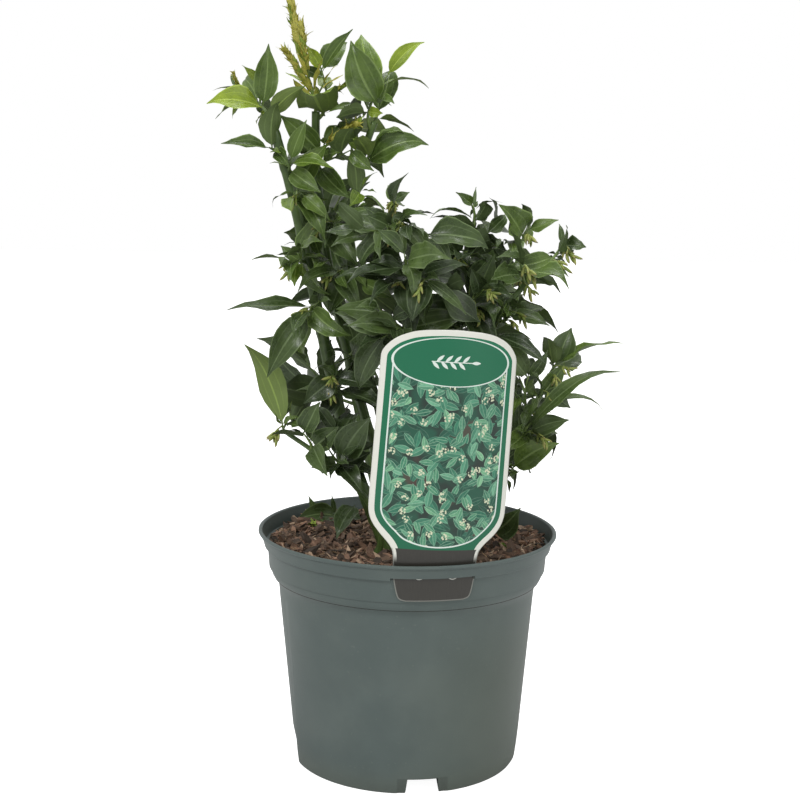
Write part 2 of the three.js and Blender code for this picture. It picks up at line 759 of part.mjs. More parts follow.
// A heading at an angle to a stem; turn 0 is the stem's upper side
function headingFrom(along, place, turn, spread) {
  const lead = Math.abs(along.z) < 0.9 ? new THREE.Vector3(0, 0, 1) : outwardAt(place);
  const first = lead.addScaledVector(along, -lead.dot(along)).normalize();
  const second = new THREE.Vector3().crossVectors(along, first);
  return along.clone().multiplyScalar(Math.cos(spread))
    .addScaledVector(first, Math.sin(spread) * Math.cos(turn))
    .addScaledVector(second, Math.sin(spread) * Math.sin(turn));
}

// A leaf hangs a little, and its upper face turns up, outwards and towards the stem's tip
function makeLeaf(place, along, turn, spread, length, wide, random) {
  const direction = headingFrom(along, place, turn, spread);
  direction.z -= leafPose.hang * random();
  direction.normalize();
  const face = new THREE.Vector3(0, 0, leafPose.up)
    .addScaledVector(outwardAt(place), leafPose.outward)
    .addScaledVector(along, leafPose.forward);
  face.x += (random() - 0.5) * leafPose.wander;
  face.y += (random() - 0.5) * leafPose.wander;
  face.addScaledVector(direction, -face.dot(direction)).normalize();
  const side = new THREE.Vector3().crossVectors(face, direction);
  const curl = (leafPose.curl + leafPose.moreCurl * random() ** 1.5) * degree;
  const width = length * wide * (leafSize.widest + leafSize.wider * random());
  return { root: place.clone(), direction, face, side, curl, length, width };
}

// A lead leaf arches from its place on the stem to its stated tip
function leadLeaf(stem, [share, tip, roll, wide, arch]) {
  const root = stem.getPoint(share);
  const toward = point(tip).sub(root);
  const chord = toward.length();
  toward.normalize();
  const half = arch * degree / 2;
  const turn = roll * degree;
  const up = new THREE.Vector3(0, -Math.sin(turn), Math.cos(turn));
  up.addScaledVector(toward, -up.dot(toward)).normalize();
  const direction = toward.clone().multiplyScalar(Math.cos(half)).addScaledVector(up, Math.sin(half));
  const face = up.clone().multiplyScalar(Math.cos(half)).addScaledVector(toward, -Math.sin(half));
  const side = new THREE.Vector3().crossVectors(face, direction);
  const length = chord * half / Math.sin(half);
  return { root, direction, face, side, curl: 2 * half, length, width: length * wide };
}

function shootRadius(mass, share) {
  return shootForm.radius * (1 - shootForm.taper * share);
}

// A mass's stem stands clear of its cane: end to end at the cane's tip, or off its side
function shootCurve(mass) {
  const cane = canes[mass.on];
  const curve = caneCurve(cane);
  const place = curve.getPoint(mass.at);
  const along = curve.getTangent(mass.at);
  const tip = point(mass.tip);
  const reach = tip.distanceTo(place);
  let heading = along.clone();
  let base = place.clone().addScaledVector(along, clearGap);
  if (mass.at < 1) {
    const out = tip.clone().sub(place);
    out.addScaledVector(along, -out.dot(along)).normalize();
    heading = along.clone().multiplyScalar(shootStart.along).addScaledVector(out, shootStart.out).normalize();
    const step = caneRadius(cane, mass.at) + clearGap + shootForm.radius * 0.6;
    base = place.clone().addScaledVector(out, step);
  }
  const knee = base.clone().addScaledVector(heading, reach * shootStart.knee);
  return new THREE.QuadraticBezierCurve3(base, knee, tip);
}

function withinBounds(place) {
  const radius = Math.hypot(place.x, place.y);
  if (place.y < bounds.viewerSide && place.z < bounds.labelTop) return false;
  if (radius > bounds.rimReach) return place.z > pot.rimTop + bounds.aboveRim;
  return place.z > soil.top + bounds.aboveSoil;
}

function woodSamples(curve, radiusAt, owner) {
  const count = Math.max(2, Math.ceil(curve.getLength() / 3));
  return Array.from({ length: count + 1 }, (_, i) => (
    { place: curve.getPoint(i / count), radius: radiusAt(i / count), owner }
  ));
}

// Whether a leaf keeps off the pot and label, every limb and stem, and the leaves already grown
function leafIsClear(leaf, owner, wood, blades) {
  const samples = bladeSamples(leaf);
  if (!samples.every(withinBounds)) return false;
  const middle = bladePoint(leaf, 0.5, 0);
  const nearWood = (leaf.length * 0.62 + 6) ** 2;
  for (const piece of wood) {
    if (middle.distanceToSquared(piece.place) > nearWood) continue;
    if (piece.owner === owner && piece.place.distanceTo(leaf.root) < clearance.ownRoot) continue;
    if (insideBlade(piece.place, leaf, piece.radius + clearance.wood)) return false;
  }
  for (const other of blades) {
    const span = (leaf.length + other.leaf.length) * 0.56 + 3;
    if (middle.distanceToSquared(other.middle) > span * span) continue;
    if (samples.some((place) => insideBlade(place, other.leaf, clearance.blade))) return false;
    if (other.samples.some((place) => insideBlade(place, leaf, clearance.blade))) return false;
  }
  return true;
}

// Tries a leaf up to five times, turned a little each time, and leaves it out if none is clear
function placeLeaf(mass, place, along, turn, spread, size, seed, wood, blades) {
  for (let attempt = 0; attempt < seeding.attempts; attempt += 1) {
    const random = seededRandom(seed + attempt * seeding.attempt);
    const length = mass.leaf * size * (leafSize.least + leafSize.more * random());
    const swing = (random() - 0.5) * (leafSize.swing + leafSize.moreSwing * attempt) * degree;
    const lean = (random() - 0.5) * leafSize.lean * degree;
    const wide = mass.wide ?? leafForm.wide;
    const leaf = makeLeaf(place, along, turn + swing, spread + lean, length, wide, random);
    if (leafIsClear(leaf, mass.name, wood, blades)) return leaf;
  }
  return null;
}

// A side twig branches off the stem, unless it would meet a limb, a leaf or the pot
function sideTwig(mass, stem, number, spin, random, wood, blades) {
  const share = twigStart.first + twigStart.last * (number + random() * 0.5) / mass.twigs;
  const place = stem.getPoint(share);
  const along = stem.getTangent(share);
  const spread = (twigStart.spread + twigStart.moreSpread * random()) * degree;
  const heading = headingFrom(along, place, spin + (number + 0.5) * goldenTurn, spread);
  heading.z += twigStart.rise;
  heading.normalize();
  const length = mass.leaf * (twigStart.size + 0.35 * random());
  const bend = new THREE.Vector3(random() - 0.5, random() - 0.5, random() * 0.6);
  const knee = place.clone().addScaledVector(heading, length * 0.5);
  const tip = place.clone().addScaledVector(heading, length).addScaledVector(bend, length * twigStart.bend);
  const curve = new THREE.QuadraticBezierCurve3(place, knee, tip);
  const radiusAt = (part) => twigForm.radius * (1 - twigForm.taper * part);
  const path = woodSamples(curve, radiusAt, mass.name).slice(1);
  const blocked = path.some((step) => !withinBounds(step.place)
    || blades.some(({ leaf }) => insideBlade(step.place, leaf, clearance.wood + 1))
    || wood.some((piece) => piece.owner !== mass.name
      && piece.place.distanceTo(step.place) < piece.radius + step.radius + clearance.wood));
  if (blocked) return null;
  return { curve, radiusAt, leaves: twigForm.leaves, bare: twigForm.bare, steps: twigForm.steps, turn: 2 };
}

function makeBud(leaf, along, seed) {
  const random = seededRandom(seed);
  if (random() > budForm.share) return null;
  const direction = headingFrom(along, leaf.root, 6 * random(), (50 + 40 * random()) * degree);
  direction.z -= 0.35;
  direction.normalize();
  const length = budForm.length * (0.8 + 0.5 * random());
  return { root: leaf.root.clone(), direction, length };
}

function addBlade(blades, leaf) {
  blades.push({ leaf, samples: bladeSamples(leaf), middle: bladePoint(leaf, 0.5, 0) });
}

// A mass's lead leaves come before every seeded one, and a blocked one is left out
function growLeads(mass, wood, blades) {
  const stem = shootCurve(mass);
  const leads = (mass.leads ?? []).map((lead) => leadLeaf(stem, lead));
  return leads.filter((leaf) => {
    const isClear = leafIsClear(leaf, mass.name, wood, blades);
    if (isClear) addBlade(blades, leaf);
    return isClear;
  });
}

// Grows one mass: its stem, side twigs, leaves and bud clusters
function growMass(mass, leads, wood, blades) {
  const random = seededRandom(mass.seed);
  const stem = {
    curve: shootCurve(mass),
    radiusAt: (share) => shootRadius(mass, share),
    leaves: mass.leaves,
    bare: mass.bare ?? shootForm.bare,
    steps: shootForm.steps,
    turn: 0,
  };
  const spin = random() * 2 * Math.PI;
  const twigs = [stem];
  for (let number = 0; number < (mass.twigs ?? 0); number += 1) {
    const twig = sideTwig(mass, stem.curve, number, spin, random, wood, blades);
    if (twig) twigs.push(twig);
  }
  for (const { curve, radiusAt } of twigs.slice(1)) {
    wood.push(...woodSamples(curve, radiusAt, mass.name));
  }
  const [low, high] = mass.spread ?? shootForm.leafSpread;
  const grown = { twigs, leaves: leads.map((leaf) => ({ leaf, twig: stem })), buds: [] };
  let number = 0;
  for (const twig of twigs) {
    for (let i = 0; i < twig.leaves; i += 1) {
      number += 1;
      const share = i / (twig.leaves - 1);
      const at = Math.min(twig.bare + (1 - twig.bare) * share, 0.985);
      const place = twig.curve.getPoint(at);
      const along = twig.curve.getTangent(at);
      const spread = (low + (high - low) * share) * degree;
      const size = 0.85 + 0.3 * Math.sin(Math.PI * Math.min(1, share + 0.15)) - 0.15 * share;
      const seed = mass.seed * seeding.mass + number * seeding.leaf;
      const turn = spin + i * goldenTurn + twig.turn;
      const leaf = placeLeaf(mass, place, along, turn, spread, size, seed, wood, blades);
      if (!leaf) continue;
      grown.leaves.push({ leaf, twig });
      addBlade(blades, leaf);
      const bud = mass.young ? null : makeBud(leaf, along, seed + seeding.bud);
      if (bud) grown.buds.push({ ...bud, twig, own: leaf });
    }
  }
  return grown;
}

// The nearest place on a limb's own straight stretches
function seatOn(path, place) {
  const seats = path.slice(1).map((end, i) => (
    new THREE.Line3(path[i], end).closestPointToPoint(place, true, new THREE.Vector3())
  ));
  return seats.reduce((best, seat) => (
    seat.distanceTo(place) < best.distanceTo(place) ? seat : best
  ));
}

// How far a cane's straight stretches run from its curve, where a mass's stem meets it
function offStraight(mass) {
  const curve = caneCurve(canes[mass.on]);
  const place = curve.getPoint(mass.at);
  return seatOn(curve.getSpacedPoints(caneSteps(curve)), place).sub(place);
}

// The solid of one leaf: a folded blade with a keel that starts inside its twig
function leafSolid(leaf, path) {
  const half = leaf.width / 2;
  const thick = Math.max(0.7, leafForm.thickness * leaf.length);
  const corners = [
    seatOn(path, leaf.root).addScaledVector(leaf.direction, -leafForm.sunk),
    bladePoint(leaf, leafForm.solidBroadest, half),
    bladePoint(leaf, 1, 0),
    bladePoint(leaf, leafForm.solidBroadest, -half),
    bladePoint(leaf, leafForm.keelAt, 0, thick / 2),
    bladePoint(leaf, leafForm.keelAt, 0, -thick / 2),
  ];
  const outline = [0, 1, 2, 3];
  const [top, keel] = [4, 5];
  const faces = outline.flatMap((corner, i) => {
    const next = outline[(i + 1) % outline.length];
    return [[top, corner, next], [keel, next, corner]];
  });
  return solidFromFaces(corners, faces);
}

function solidFromFaces(corners, faces) {
  const vertProperties = new Float32Array(corners.flatMap(({ x, y, z }) => [x, y, z]));
  const triVerts = new Uint32Array(faces.flat());
  const solid = new wasm.Manifold(new wasm.Mesh({ numProp: 3, vertProperties, triVerts }));
  if (solid.volume() > 0) return solid;
  return solidFromFaces(corners, faces.map(([a, b, c]) => [a, c, b]));
}

function budSolid(bud, path) {
  const geometry = new THREE.OctahedronGeometry(1);
  geometry.scale(budForm.radius, budForm.radius, bud.length / 2).translate(0, 0, bud.length / 2 - 0.6);
  const seat = seatOn(path, bud.root).toArray();
  const turn = new THREE.Quaternion().setFromUnitVectors(new THREE.Vector3(0, 0, 1), bud.direction);
  return toSolid(geometry.applyQuaternion(turn).translate(...seat));
}

function budIsClear(bud, wood, blades, owner) {
  const end = bud.root.clone().addScaledVector(bud.direction, bud.length * 0.9);
  const middle = bud.root.clone().addScaledVector(bud.direction, bud.length * 0.5);
  const margin = budForm.radius + clearance.bud;
  return [middle, end].every((place) => withinBounds(place)
    && !blades.some(({ leaf }) => leaf !== bud.own && insideBlade(place, leaf, margin))
    && !wood.some((piece) => piece.owner !== owner
      && piece.place.distanceTo(place) < piece.radius + margin + 1));
}

function massGeometry(mass, grown, wood, blades) {
  const pathOf = ({ curve, steps }) => curve.getSpacedPoints(steps);
  const stem = grown.twigs[0].curve;
  stem.v0.add(offStraight(mass));
  const stemPath = pathOf(grown.twigs[0]);
  const pieces = grown.twigs.map(({ curve, radiusAt, steps }, i) => {
    if (i > 0) curve.v0.copy(seatOn(stemPath, curve.v0));
    return toSolid(limbGeometry(curve, radiusAt, shootForm.sides, steps));
  });
  pieces.push(...grown.leaves.map(({ leaf, twig }) => leafSolid(leaf, pathOf(twig))));
  const buds = grown.buds.filter((bud) => budIsClear(bud, wood, blades, mass.name));
  pieces.push(...buds.map((bud) => budSolid(bud, pathOf(bud.twig))));
  return toGeometry(pieces.reduce((whole, piece) => whole.add(piece)));
}

// Assembly

const plant = new THREE.Group();
plant.add(named('pot', potGeometry(), 'pot'));
plant.add(named('potting_mix', soilGeometry(), 'soil'));
plant.add(named('plant_label', labelGeometry(), 'label'));

const wood = [];
const blades = [];
for (const [name, cane] of Object.entries(canes)) {
  plant.add(named(name, caneGeometry(cane), 'cane'));
  wood.push(...woodSamples(caneCurve(cane), (share) => caneRadius(cane, share), name));
}
const growing = Object.entries(masses).map(([name, mass]) => ({ name, ...mass }));
for (const mass of growing) {
  wood.push(...woodSamples(shootCurve(mass), (share) => shootRadius(mass, share), mass.name));
}
const leads = growing.map((mass) => growLeads(mass, wood, blades));
const grown = growing.map((mass, i) => growMass(mass, leads[i], wood, blades));
growing.forEach((mass, i) => {
  const geometry = massGeometry(mass, grown[i], wood, blades);
  plant.add(named(mass.name, geometry, mass.young ? 'youngFoliage' : 'foliage'));
});

export default plant;
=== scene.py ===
import math

import bmesh
import bpy
import numpy as np
from mathutils import Matrix, Vector


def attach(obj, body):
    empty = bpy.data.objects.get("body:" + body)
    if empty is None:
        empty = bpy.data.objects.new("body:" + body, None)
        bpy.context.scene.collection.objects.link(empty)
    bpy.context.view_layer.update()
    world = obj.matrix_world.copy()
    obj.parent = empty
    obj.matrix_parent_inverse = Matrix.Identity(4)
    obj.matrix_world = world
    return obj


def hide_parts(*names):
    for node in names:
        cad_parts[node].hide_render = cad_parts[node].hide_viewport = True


# A fragrant sweet box in its nursery pot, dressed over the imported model. Metres, +Z up, viewer at -Y.

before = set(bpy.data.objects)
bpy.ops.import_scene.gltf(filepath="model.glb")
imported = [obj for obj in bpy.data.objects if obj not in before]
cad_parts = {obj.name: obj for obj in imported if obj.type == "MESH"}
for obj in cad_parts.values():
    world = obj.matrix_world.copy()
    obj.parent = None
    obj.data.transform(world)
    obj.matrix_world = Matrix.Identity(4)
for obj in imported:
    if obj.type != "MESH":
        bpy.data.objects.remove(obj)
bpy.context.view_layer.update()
print("frame loaded:", len(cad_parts), "nodes")

degree = math.pi / 180


# Colours and nodes

def rgb(red, green, blue):  # 0 to 255 as seen, to the linear values that a shader takes
    def linear(value):
        share = value / 255
        return share / 12.92 if share <= 0.04045 else ((share + 0.055) / 1.055) ** 2.4
    return (linear(red), linear(green), linear(blue), 1.0)


def setSockets(tree, made, inputs):
    for socket, value in inputs.items():
        if isinstance(value, bpy.types.NodeSocket):
            tree.links.new(value, made.inputs[socket])
        else:
            made.inputs[socket].default_value = value


def addNode(tree, kind, inputs=None, **settings):
    made = tree.nodes.new(kind)
    for name, value in settings.items():
        setattr(made, name, value)
    setSockets(tree, made, inputs or {})
    return made


def mathNode(tree, operation, first, second=0.0, third=0.0):
    return addNode(tree, "ShaderNodeMath", {0: first, 1: second, 2: third}, operation=operation).outputs[0]


def mathOf(operation):
    return lambda tree, *values: mathNode(tree, operation, *values)


times, plus, minus, timesPlus = map(mathOf, ("MULTIPLY", "ADD", "SUBTRACT", "MULTIPLY_ADD"))
absolute, larger, isAbove, isBelow = map(mathOf, ("ABSOLUTE", "MAXIMUM", "GREATER_THAN", "LESS_THAN"))


def mixColors(tree, share, first, second, blend="MIX"):
    made = addNode(tree, "ShaderNodeMix", {0: share, 6: first, 7: second}, data_type="RGBA", blend_type=blend)
    return made.outputs[2]


def layOver(tree, color, coats):  # each coat is a mask and a paint
    for mask, paint in coats:
        color = mixColors(tree, mask, color, paint)
    return color


def ramp(tree, value, low, high):  # 0 at low and 1 at high, smooth between them
    made = addNode(tree, "ShaderNodeMapRange", {0: value, 1: low, 2: high}, interpolation_type="SMOOTHSTEP")
    return made.outputs[0]


def noiseNode(tree, place, scale, detail=3.0):
    return addNode(tree, "ShaderNodeTexNoise", {"Vector": place, "Scale": scale, "Detail": detail}).outputs[0]


def newMaterial(name, roughness, **fixed):
    made = bpy.data.materials.new(name)
    made.use_nodes = True
    shader = made.node_tree.nodes["Principled BSDF"]
    shader.inputs["Roughness"].default_value = roughness
    for socket, value in fixed.items():
        shader.inputs[socket.replace("_", " ")].default_value = value
    return made, made.node_tree, shader


def addBump(tree, shader, height, strength, distance):
    bump = addNode(tree, "ShaderNodeBump", {"Strength": strength, "Distance": distance, "Height": height})
    tree.links.new(bump.outputs[0], shader.inputs["Normal"])


def objectPlace(tree):
    return addNode(tree, "ShaderNodeTexCoord").outputs["Object"]


def surfacePlace(tree):
    return addNode(tree, "ShaderNodeTexCoord").outputs["UV"]


def splitXYZ(tree, place):
    return addNode(tree, "ShaderNodeSeparateXYZ", {0: place}).outputs


def attribute(tree, name):
    return addNode(tree, "ShaderNodeAttribute", attribute_name=name).outputs["Fac"]


# Node groups that several materials share

def newGroup(name, inputs, outputs):
    group = bpy.data.node_groups.new(name, "ShaderNodeTree")
    for socket, kind in inputs.items():
        group.interface.new_socket(socket, in_out="INPUT", socket_type="NodeSocket" + kind)
    for socket, kind in outputs.items():
        group.interface.new_socket(socket, in_out="OUTPUT", socket_type="NodeSocket" + kind)
    return group, group.nodes.new("NodeGroupInput").outputs, group.nodes.new("NodeGroupOutput").inputs


def mottleGroup():  # soft patches of two shades, with finer specks in them
    sockets = {"Vector": "Vector", "Scale": "Float", "First": "Color", "Second": "Color"}
    group, given, result = newGroup("mottle", sockets, {"Color": "Color", "Value": "Float"})
    broad = noiseNode(group, given["Vector"], given["Scale"], 4.0)
    fine = noiseNode(group, given["Vector"], times(group, given["Scale"], 6.0))
    both = timesPlus(group, fine, 0.4, broad)
    share = ramp(group, both, 0.5, 0.9)
    group.links.new(mixColors(group, share, given["First"], given["Second"]), result["Color"])
    group.links.new(share, result["Value"])
    return group


def barkGroup():  # bark flakes: a tone of each flake, dirt over it and fine streaks
    sockets = {"Vector": "Vector", "Tone": "Float", "Dark": "Color", "Light": "Color"}
    group, given, result = newGroup("bark", sockets, {"Color": "Color", "Height": "Float"})
    base = mixColors(group, given["Tone"], given["Dark"], given["Light"])
    dirt = ramp(group, noiseNode(group, given["Vector"], 160.0, 4.0), 0.45, 0.7)
    color = mixColors(group, times(group, dirt, 0.55), base, rgb(50, 44, 36))
    group.links.new(color, result["Color"])
    group.links.new(noiseNode(group, given["Vector"], 900.0, 4.0), result["Height"])
    return group


groups = {"mottle": mottleGroup(), "bark": barkGroup()}


def placeGroup(tree, name, **inputs):
    made = addNode(tree, "ShaderNodeGroup", node_tree=groups[name])
    setSockets(tree, made, inputs)
    return made.outputs


# Finished pieces

def finishPiece(piece, material, replaced=(), smooth=True):
    if piece.name not in bpy.context.scene.collection.objects:
        bpy.context.scene.collection.objects.link(piece)
    if material:
        piece.data.materials.clear()
        piece.data.materials.append(material)
    piece.data.polygons.foreach_set("use_smooth", np.full(len(piece.data.polygons), smooth))
    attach(piece, "root")
    if replaced:
        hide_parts(*replaced)
    return piece


def pieceFromBmesh(name, shape):
    mesh = bpy.data.meshes.new(name)
    shape.to_mesh(mesh)
    shape.free()
    piece = bpy.data.objects.new(name, mesh)
    bpy.context.scene.collection.objects.link(piece)
    return piece


def pieceFromArrays(name, places, faceSets, uvs=None, values=None):  # each set of faces has one corner count
    mesh = bpy.data.meshes.new(name)
    corners = np.concatenate([faces.ravel() for faces in faceSets]).astype(np.int32)
    sizes = np.concatenate([np.full(len(faces), faces.shape[1], np.int32) for faces in faceSets])
    mesh.vertices.add(len(places))
    mesh.vertices.foreach_set("co", np.asarray(places, np.float32).ravel())
    mesh.loops.add(len(corners))
    mesh.loops.foreach_set("vertex_index", corners)
    mesh.polygons.add(len(sizes))
    mesh.polygons.foreach_set("loop_start", (np.cumsum(sizes) - sizes).astype(np.int32))
    if uvs is not None:
        layer = mesh.uv_layers.new(name="surface")
        layer.data.foreach_set("uv", np.asarray(uvs, np.float32)[corners].ravel())
    for key, numbers in (values or {}).items():
        mesh.attributes.new(key, "FLOAT", "POINT").data.foreach_set("value", np.asarray(numbers, np.float32))
    mesh.update(calc_edges=True)
    return bpy.data.objects.new(name, mesh)


def gridFaces(count, rows, columns, closed=False):  # quads of count grids, each rows by columns of vertices
    across = columns if closed else columns - 1
    row, column = np.meshgrid(np.arange(rows - 1), np.arange(across), indexing="ij")
    here = row * columns + column
    beside = row * columns + (column + 1) % columns
    quads = np.stack([here, beside, beside + columns, here + columns], -1).reshape(-1, 4)
    return (quads[None] + np.arange(count)[:, None, None] * rows * columns).reshape(-1, 4)


def applyModifier(piece, kind, **settings):
    modifier = piece.modifiers.new(kind.lower(), kind)
    for name, value in settings.items():
        setattr(modifier, name, value)
    depsgraph = bpy.context.evaluated_depsgraph_get()
    shaped = bpy.data.meshes.new_from_object(piece.evaluated_get(depsgraph))
    piece.modifiers.clear()
    piece.data = shaped
    return piece


# Pot: a turned wall with a rounded shoulder, a band, a ridge and a flared lip

pot = {
    "rimTop": 0.15,
    "steps": 180,
    "outer": [
        (0.0, 0.0), (0.0712, 0.0), (0.0725, 0.0004), (0.0734, 0.0018), (0.0744, 0.0098), (0.0753, 0.0194),
        (0.0819, 0.1062), (0.0823, 0.1111), (0.0826, 0.1138), (0.0829, 0.1154), (0.0834, 0.1167),
        (0.0842, 0.118), (0.0852, 0.1193), (0.0862, 0.1207), (0.0871, 0.1223), (0.0877, 0.1242),
        (0.0879, 0.1258), (0.0888, 0.126), (0.089, 0.1265), (0.0899, 0.1386), (0.0902, 0.1396),
        (0.0917, 0.1397), (0.0921, 0.1401), (0.0926, 0.1424), (0.0939, 0.1458), (0.0942, 0.1469),
        (0.0943, 0.1474), (0.0954, 0.1479), (0.0959, 0.1487), (0.0958, 0.1495), (0.095, 0.15),
    ],
    "inner": [
        (0.094, 0.1499), (0.0934, 0.1493), (0.0917, 0.1416), (0.0914, 0.1408), (0.0888, 0.1402),
        (0.0873, 0.127), (0.0868, 0.1258), (0.083, 0.1206), (0.0813, 0.1165), (0.074, 0.0194),
        (0.0732, 0.0106), (0.0718, 0.0018), (0.0, 0.0018),
    ],
    "slotTurn": 9.6,
    "slotHalfTurn": 15.9,
    "slotBand": (0.0901, 0.097, 0.1345, 0.1417),
    "sharpTurn": 32,
}
drain = {
    "half": 0.0096, "topHalf": 0.0086, "innerHalf": 0.0155, "height": 0.0098, "reach": 0.026, "hood": 0.0015,
    "holeRadius": 0.005, "holeAt": 0.046, "beyondWall": 0.08,
    "wallFrom": 0.06, "softTurn": 1.6, "softRise": 0.0012,
}
drains = [{"turn": turn, "halfTurn": 13, "top": 0.0102, "depth": 0.0008} for turn in (9.3, 99.3, 189.3)]
drains.append({"turn": 275, "halfTurn": 19, "top": 0.019, "depth": 0.0034})


def turnedShape(profile, steps):
    shape = bmesh.new()
    stations = [shape.verts.new((radius, 0, height)) for radius, height in profile]
    edges = [shape.edges.new(pair) for pair in zip(stations, stations[1:])]
    bmesh.ops.spin(
        shape, geom=stations + edges, cent=(0, 0, 0), axis=(0, 0, 1),
        angle=2 * math.pi, steps=steps, use_merge=True, use_duplicate=False,
    )
    bmesh.ops.remove_doubles(shape, verts=shape.verts, dist=1e-6)
    bmesh.ops.recalc_face_normals(shape, faces=shape.faces)
    return shape


def stepWallIn(place):  # round each drain the wall's foot stands back a little, with soft ends
    radius = math.hypot(place.x, place.y)
    if radius < drain["wallFrom"]:
        return
    for one in drains:
        turn = math.degrees(math.atan2(place.x, -place.y))
        off = abs((turn - one["turn"] + 540) % 360 - 180)
        side = min(1, max(0, (one["halfTurn"] - off) / drain["softTurn"]))
        rise = min(1, max(0, (one["top"] + drain["softRise"] - place.z) / drain["softRise"]))
        depth = one["depth"] * side * rise
        place.x *= 1 - depth / radius
        place.y *= 1 - depth / radius


def drainWedges(grow, low, high):  # a channel for each drain, wider inwards and a little narrower on top
    wedges = bmesh.new()
    for one in drains:
        corners = bmesh.ops.create_cube(wedges, size=1)["verts"]
        for vertex in corners:
            isInner = vertex.co.y > 0
            isTop = vertex.co.z > 0
            half = drain["innerHalf"] if isInner else drain["topHalf"] if isTop else drain["half"]
            away = -drain["reach"] + grow if isInner else -drain["beyondWall"]
            vertex.co = Vector((math.copysign(half + grow, vertex.co.x), away, high if isTop else low))
        turn = Matrix.Rotation(one["turn"] * degree, 3, "Z")
        bmesh.ops.rotate(wedges, cent=(0, 0, 0), matrix=turn, verts=corners)
    return pieceFromBmesh("drain_wedges", wedges)


def drainHoles():
    holes = bmesh.new()
    depth = 3 * drain["hood"] + 0.004
    radius = drain["holeRadius"]
    middle = Matrix.Translation((0, -drain["holeAt"], drain["height"]))
    for one in drains:
        place = Matrix.Rotation(one["turn"] * degree, 4, "Z") @ middle
        bmesh.ops.create_cone(
            holes, cap_ends=True, segments=32, radius1=radius, radius2=radius, depth=depth, matrix=place,
        )
    return pieceFromBmesh("drain_holes", holes)


def slotCutter():
    inner, outer, low, high = pot["slotBand"]
    cutter = bmesh.new()
    stations = [(inner, low), (outer, low), (outer, high), (inner, high)]
    section = cutter.faces.new([cutter.verts.new((0, -radius, height)) for radius, height in stations])
    turn = (pot["slotTurn"] - pot["slotHalfTurn"]) * degree
    bmesh.ops.rotate(cutter, cent=(0, 0, 0), matrix=Matrix.Rotation(turn, 3, "Z"), verts=cutter.verts)
    bmesh.ops.spin(
        cutter, geom=[section], cent=(0, 0, 0), axis=(0, 0, 1),
        angle=2 * pot["slotHalfTurn"] * degree, steps=36, use_duplicate=False,
    )
    openEnds = [edge for edge in cutter.edges if edge.is_boundary]
    if openEnds:
        bmesh.ops.holes_fill(cutter, edges=openEnds, sides=4)
    bmesh.ops.recalc_face_normals(cutter, faces=cutter.faces)
    return pieceFromBmesh("slot_cutter", cutter)


def combine(piece, other, operation):
    applyModifier(piece, "BOOLEAN", object=other, operation=operation, solver="MANIFOLD")


def buildPot():
    wall = turnedShape(pot["outer"] + pot["inner"], pot["steps"])
    filled = turnedShape(pot["outer"] + [(0.0, pot["rimTop"])], pot["steps"])
    for shape in (wall, filled):
        for vertex in shape.verts:
            stepWallIn(vertex.co)
    piece = pieceFromBmesh("pot_wall", wall)
    cutters = [
        pieceFromBmesh("pot_filled", filled),
        drainWedges(drain["hood"], 0.0, drain["height"] + drain["hood"]),
        drainWedges(0.0, -0.001, drain["height"]),
        drainHoles(),
        slotCutter(),
    ]
    within, hoods, channels, holes, slot = cutters
    combine(hoods, within, "INTERSECT")
    combine(piece, hoods, "UNION")
    for cutter in (channels, holes, slot):
        combine(piece, cutter, "DIFFERENCE")
    for cutter in cutters:
        bpy.data.objects.remove(cutter)
    return piece


def dustOver(tree, place, color, dust, amount):  # pale dust, dried water marks and specks
    clouds = ramp(tree, noiseNode(tree, place, 22.0, 6.0), 0.42, 0.72)
    specks = ramp(tree, noiseNode(tree, place, 420.0, 2.0), 0.66, 0.74)
    share = times(tree, larger(tree, clouds, specks), amount)
    return mixColors(tree, share, color, dust), share


def recessMask(tree, place):  # 1 on the wall's steps round the drains that lie a quarter turn apart
    split = splitXYZ(tree, place)
    angle = mathNode(tree, "ARCTAN2", split["X"], times(tree, split["Y"], -1.0))
    offset = minus(tree, angle, drains[0]["turn"] * degree)
    away = mathNode(tree, "PINGPONG", plus(tree, offset, 8 * math.pi), math.pi / 4)
    half = (drains[0]["halfTurn"] - 0.9) * degree
    beside = ramp(tree, away, half + 0.012, half - 0.004)
    below = ramp(tree, split["Z"], drains[0]["top"] + 0.0006, drains[0]["top"] - 0.0002)
    return times(tree, beside, below), split


def potMaterial():
    made, tree, shader = newMaterial("potPlastic", 0.42, Specular_IOR_Level=0.45)
    place = objectPlace(tree)
    shades = {"First": rgb(82, 94, 91), "Second": rgb(89, 101, 98)}
    plastic = placeGroup(tree, "mottle", Vector=place, Scale=9.0, **shades)
    color, dusty = dustOver(tree, place, plastic["Color"], rgb(124, 132, 124), 0.16)
    recess, split = recessMask(tree, place)
    footWear = ramp(tree, split["Z"], 0.02, 0.0)
    # The right of the body is painted darker and warmer: painted shade, with a warm tint
    warmShadedSide = times(tree, ramp(tree, split["X"], -0.02, 0.07), ramp(tree, split["Z"], 0.14, 0.06))
    color = layOver(tree, color, [
        (times(tree, footWear, 0.25), rgb(114, 118, 102)),
        (times(tree, warmShadedSide, 0.6), rgb(84, 92, 80)),
        # The steps round the drains are painted darker: painted shade in the recess
        (times(tree, recess, 0.4), rgb(66, 72, 66)),
    ])
    setSockets(tree, shader, {"Base Color": color, "Roughness": timesPlus(tree, dusty, 0.3, 0.4)})
    grain = times(tree, noiseNode(tree, place, 1400.0, 2.0), timesPlus(tree, recess, 2.0, 1.0))
    scuffs = noiseNode(tree, place, 90.0, 5.0)
    addBump(tree, shader, timesPlus(tree, scuffs, 0.5, grain), 0.14, 0.0004)
    return made


potPiece = finishPiece(buildPot(), potMaterial(), ["pot"])
potPiece.data.set_sharp_from_angle(angle=pot["sharpTurn"] * degree)
print("pot turned and cut:", len(potPiece.data.polygons), "faces")


# Potting mix: a humped bed with thousands of bark chips, crumbs and fibres on it

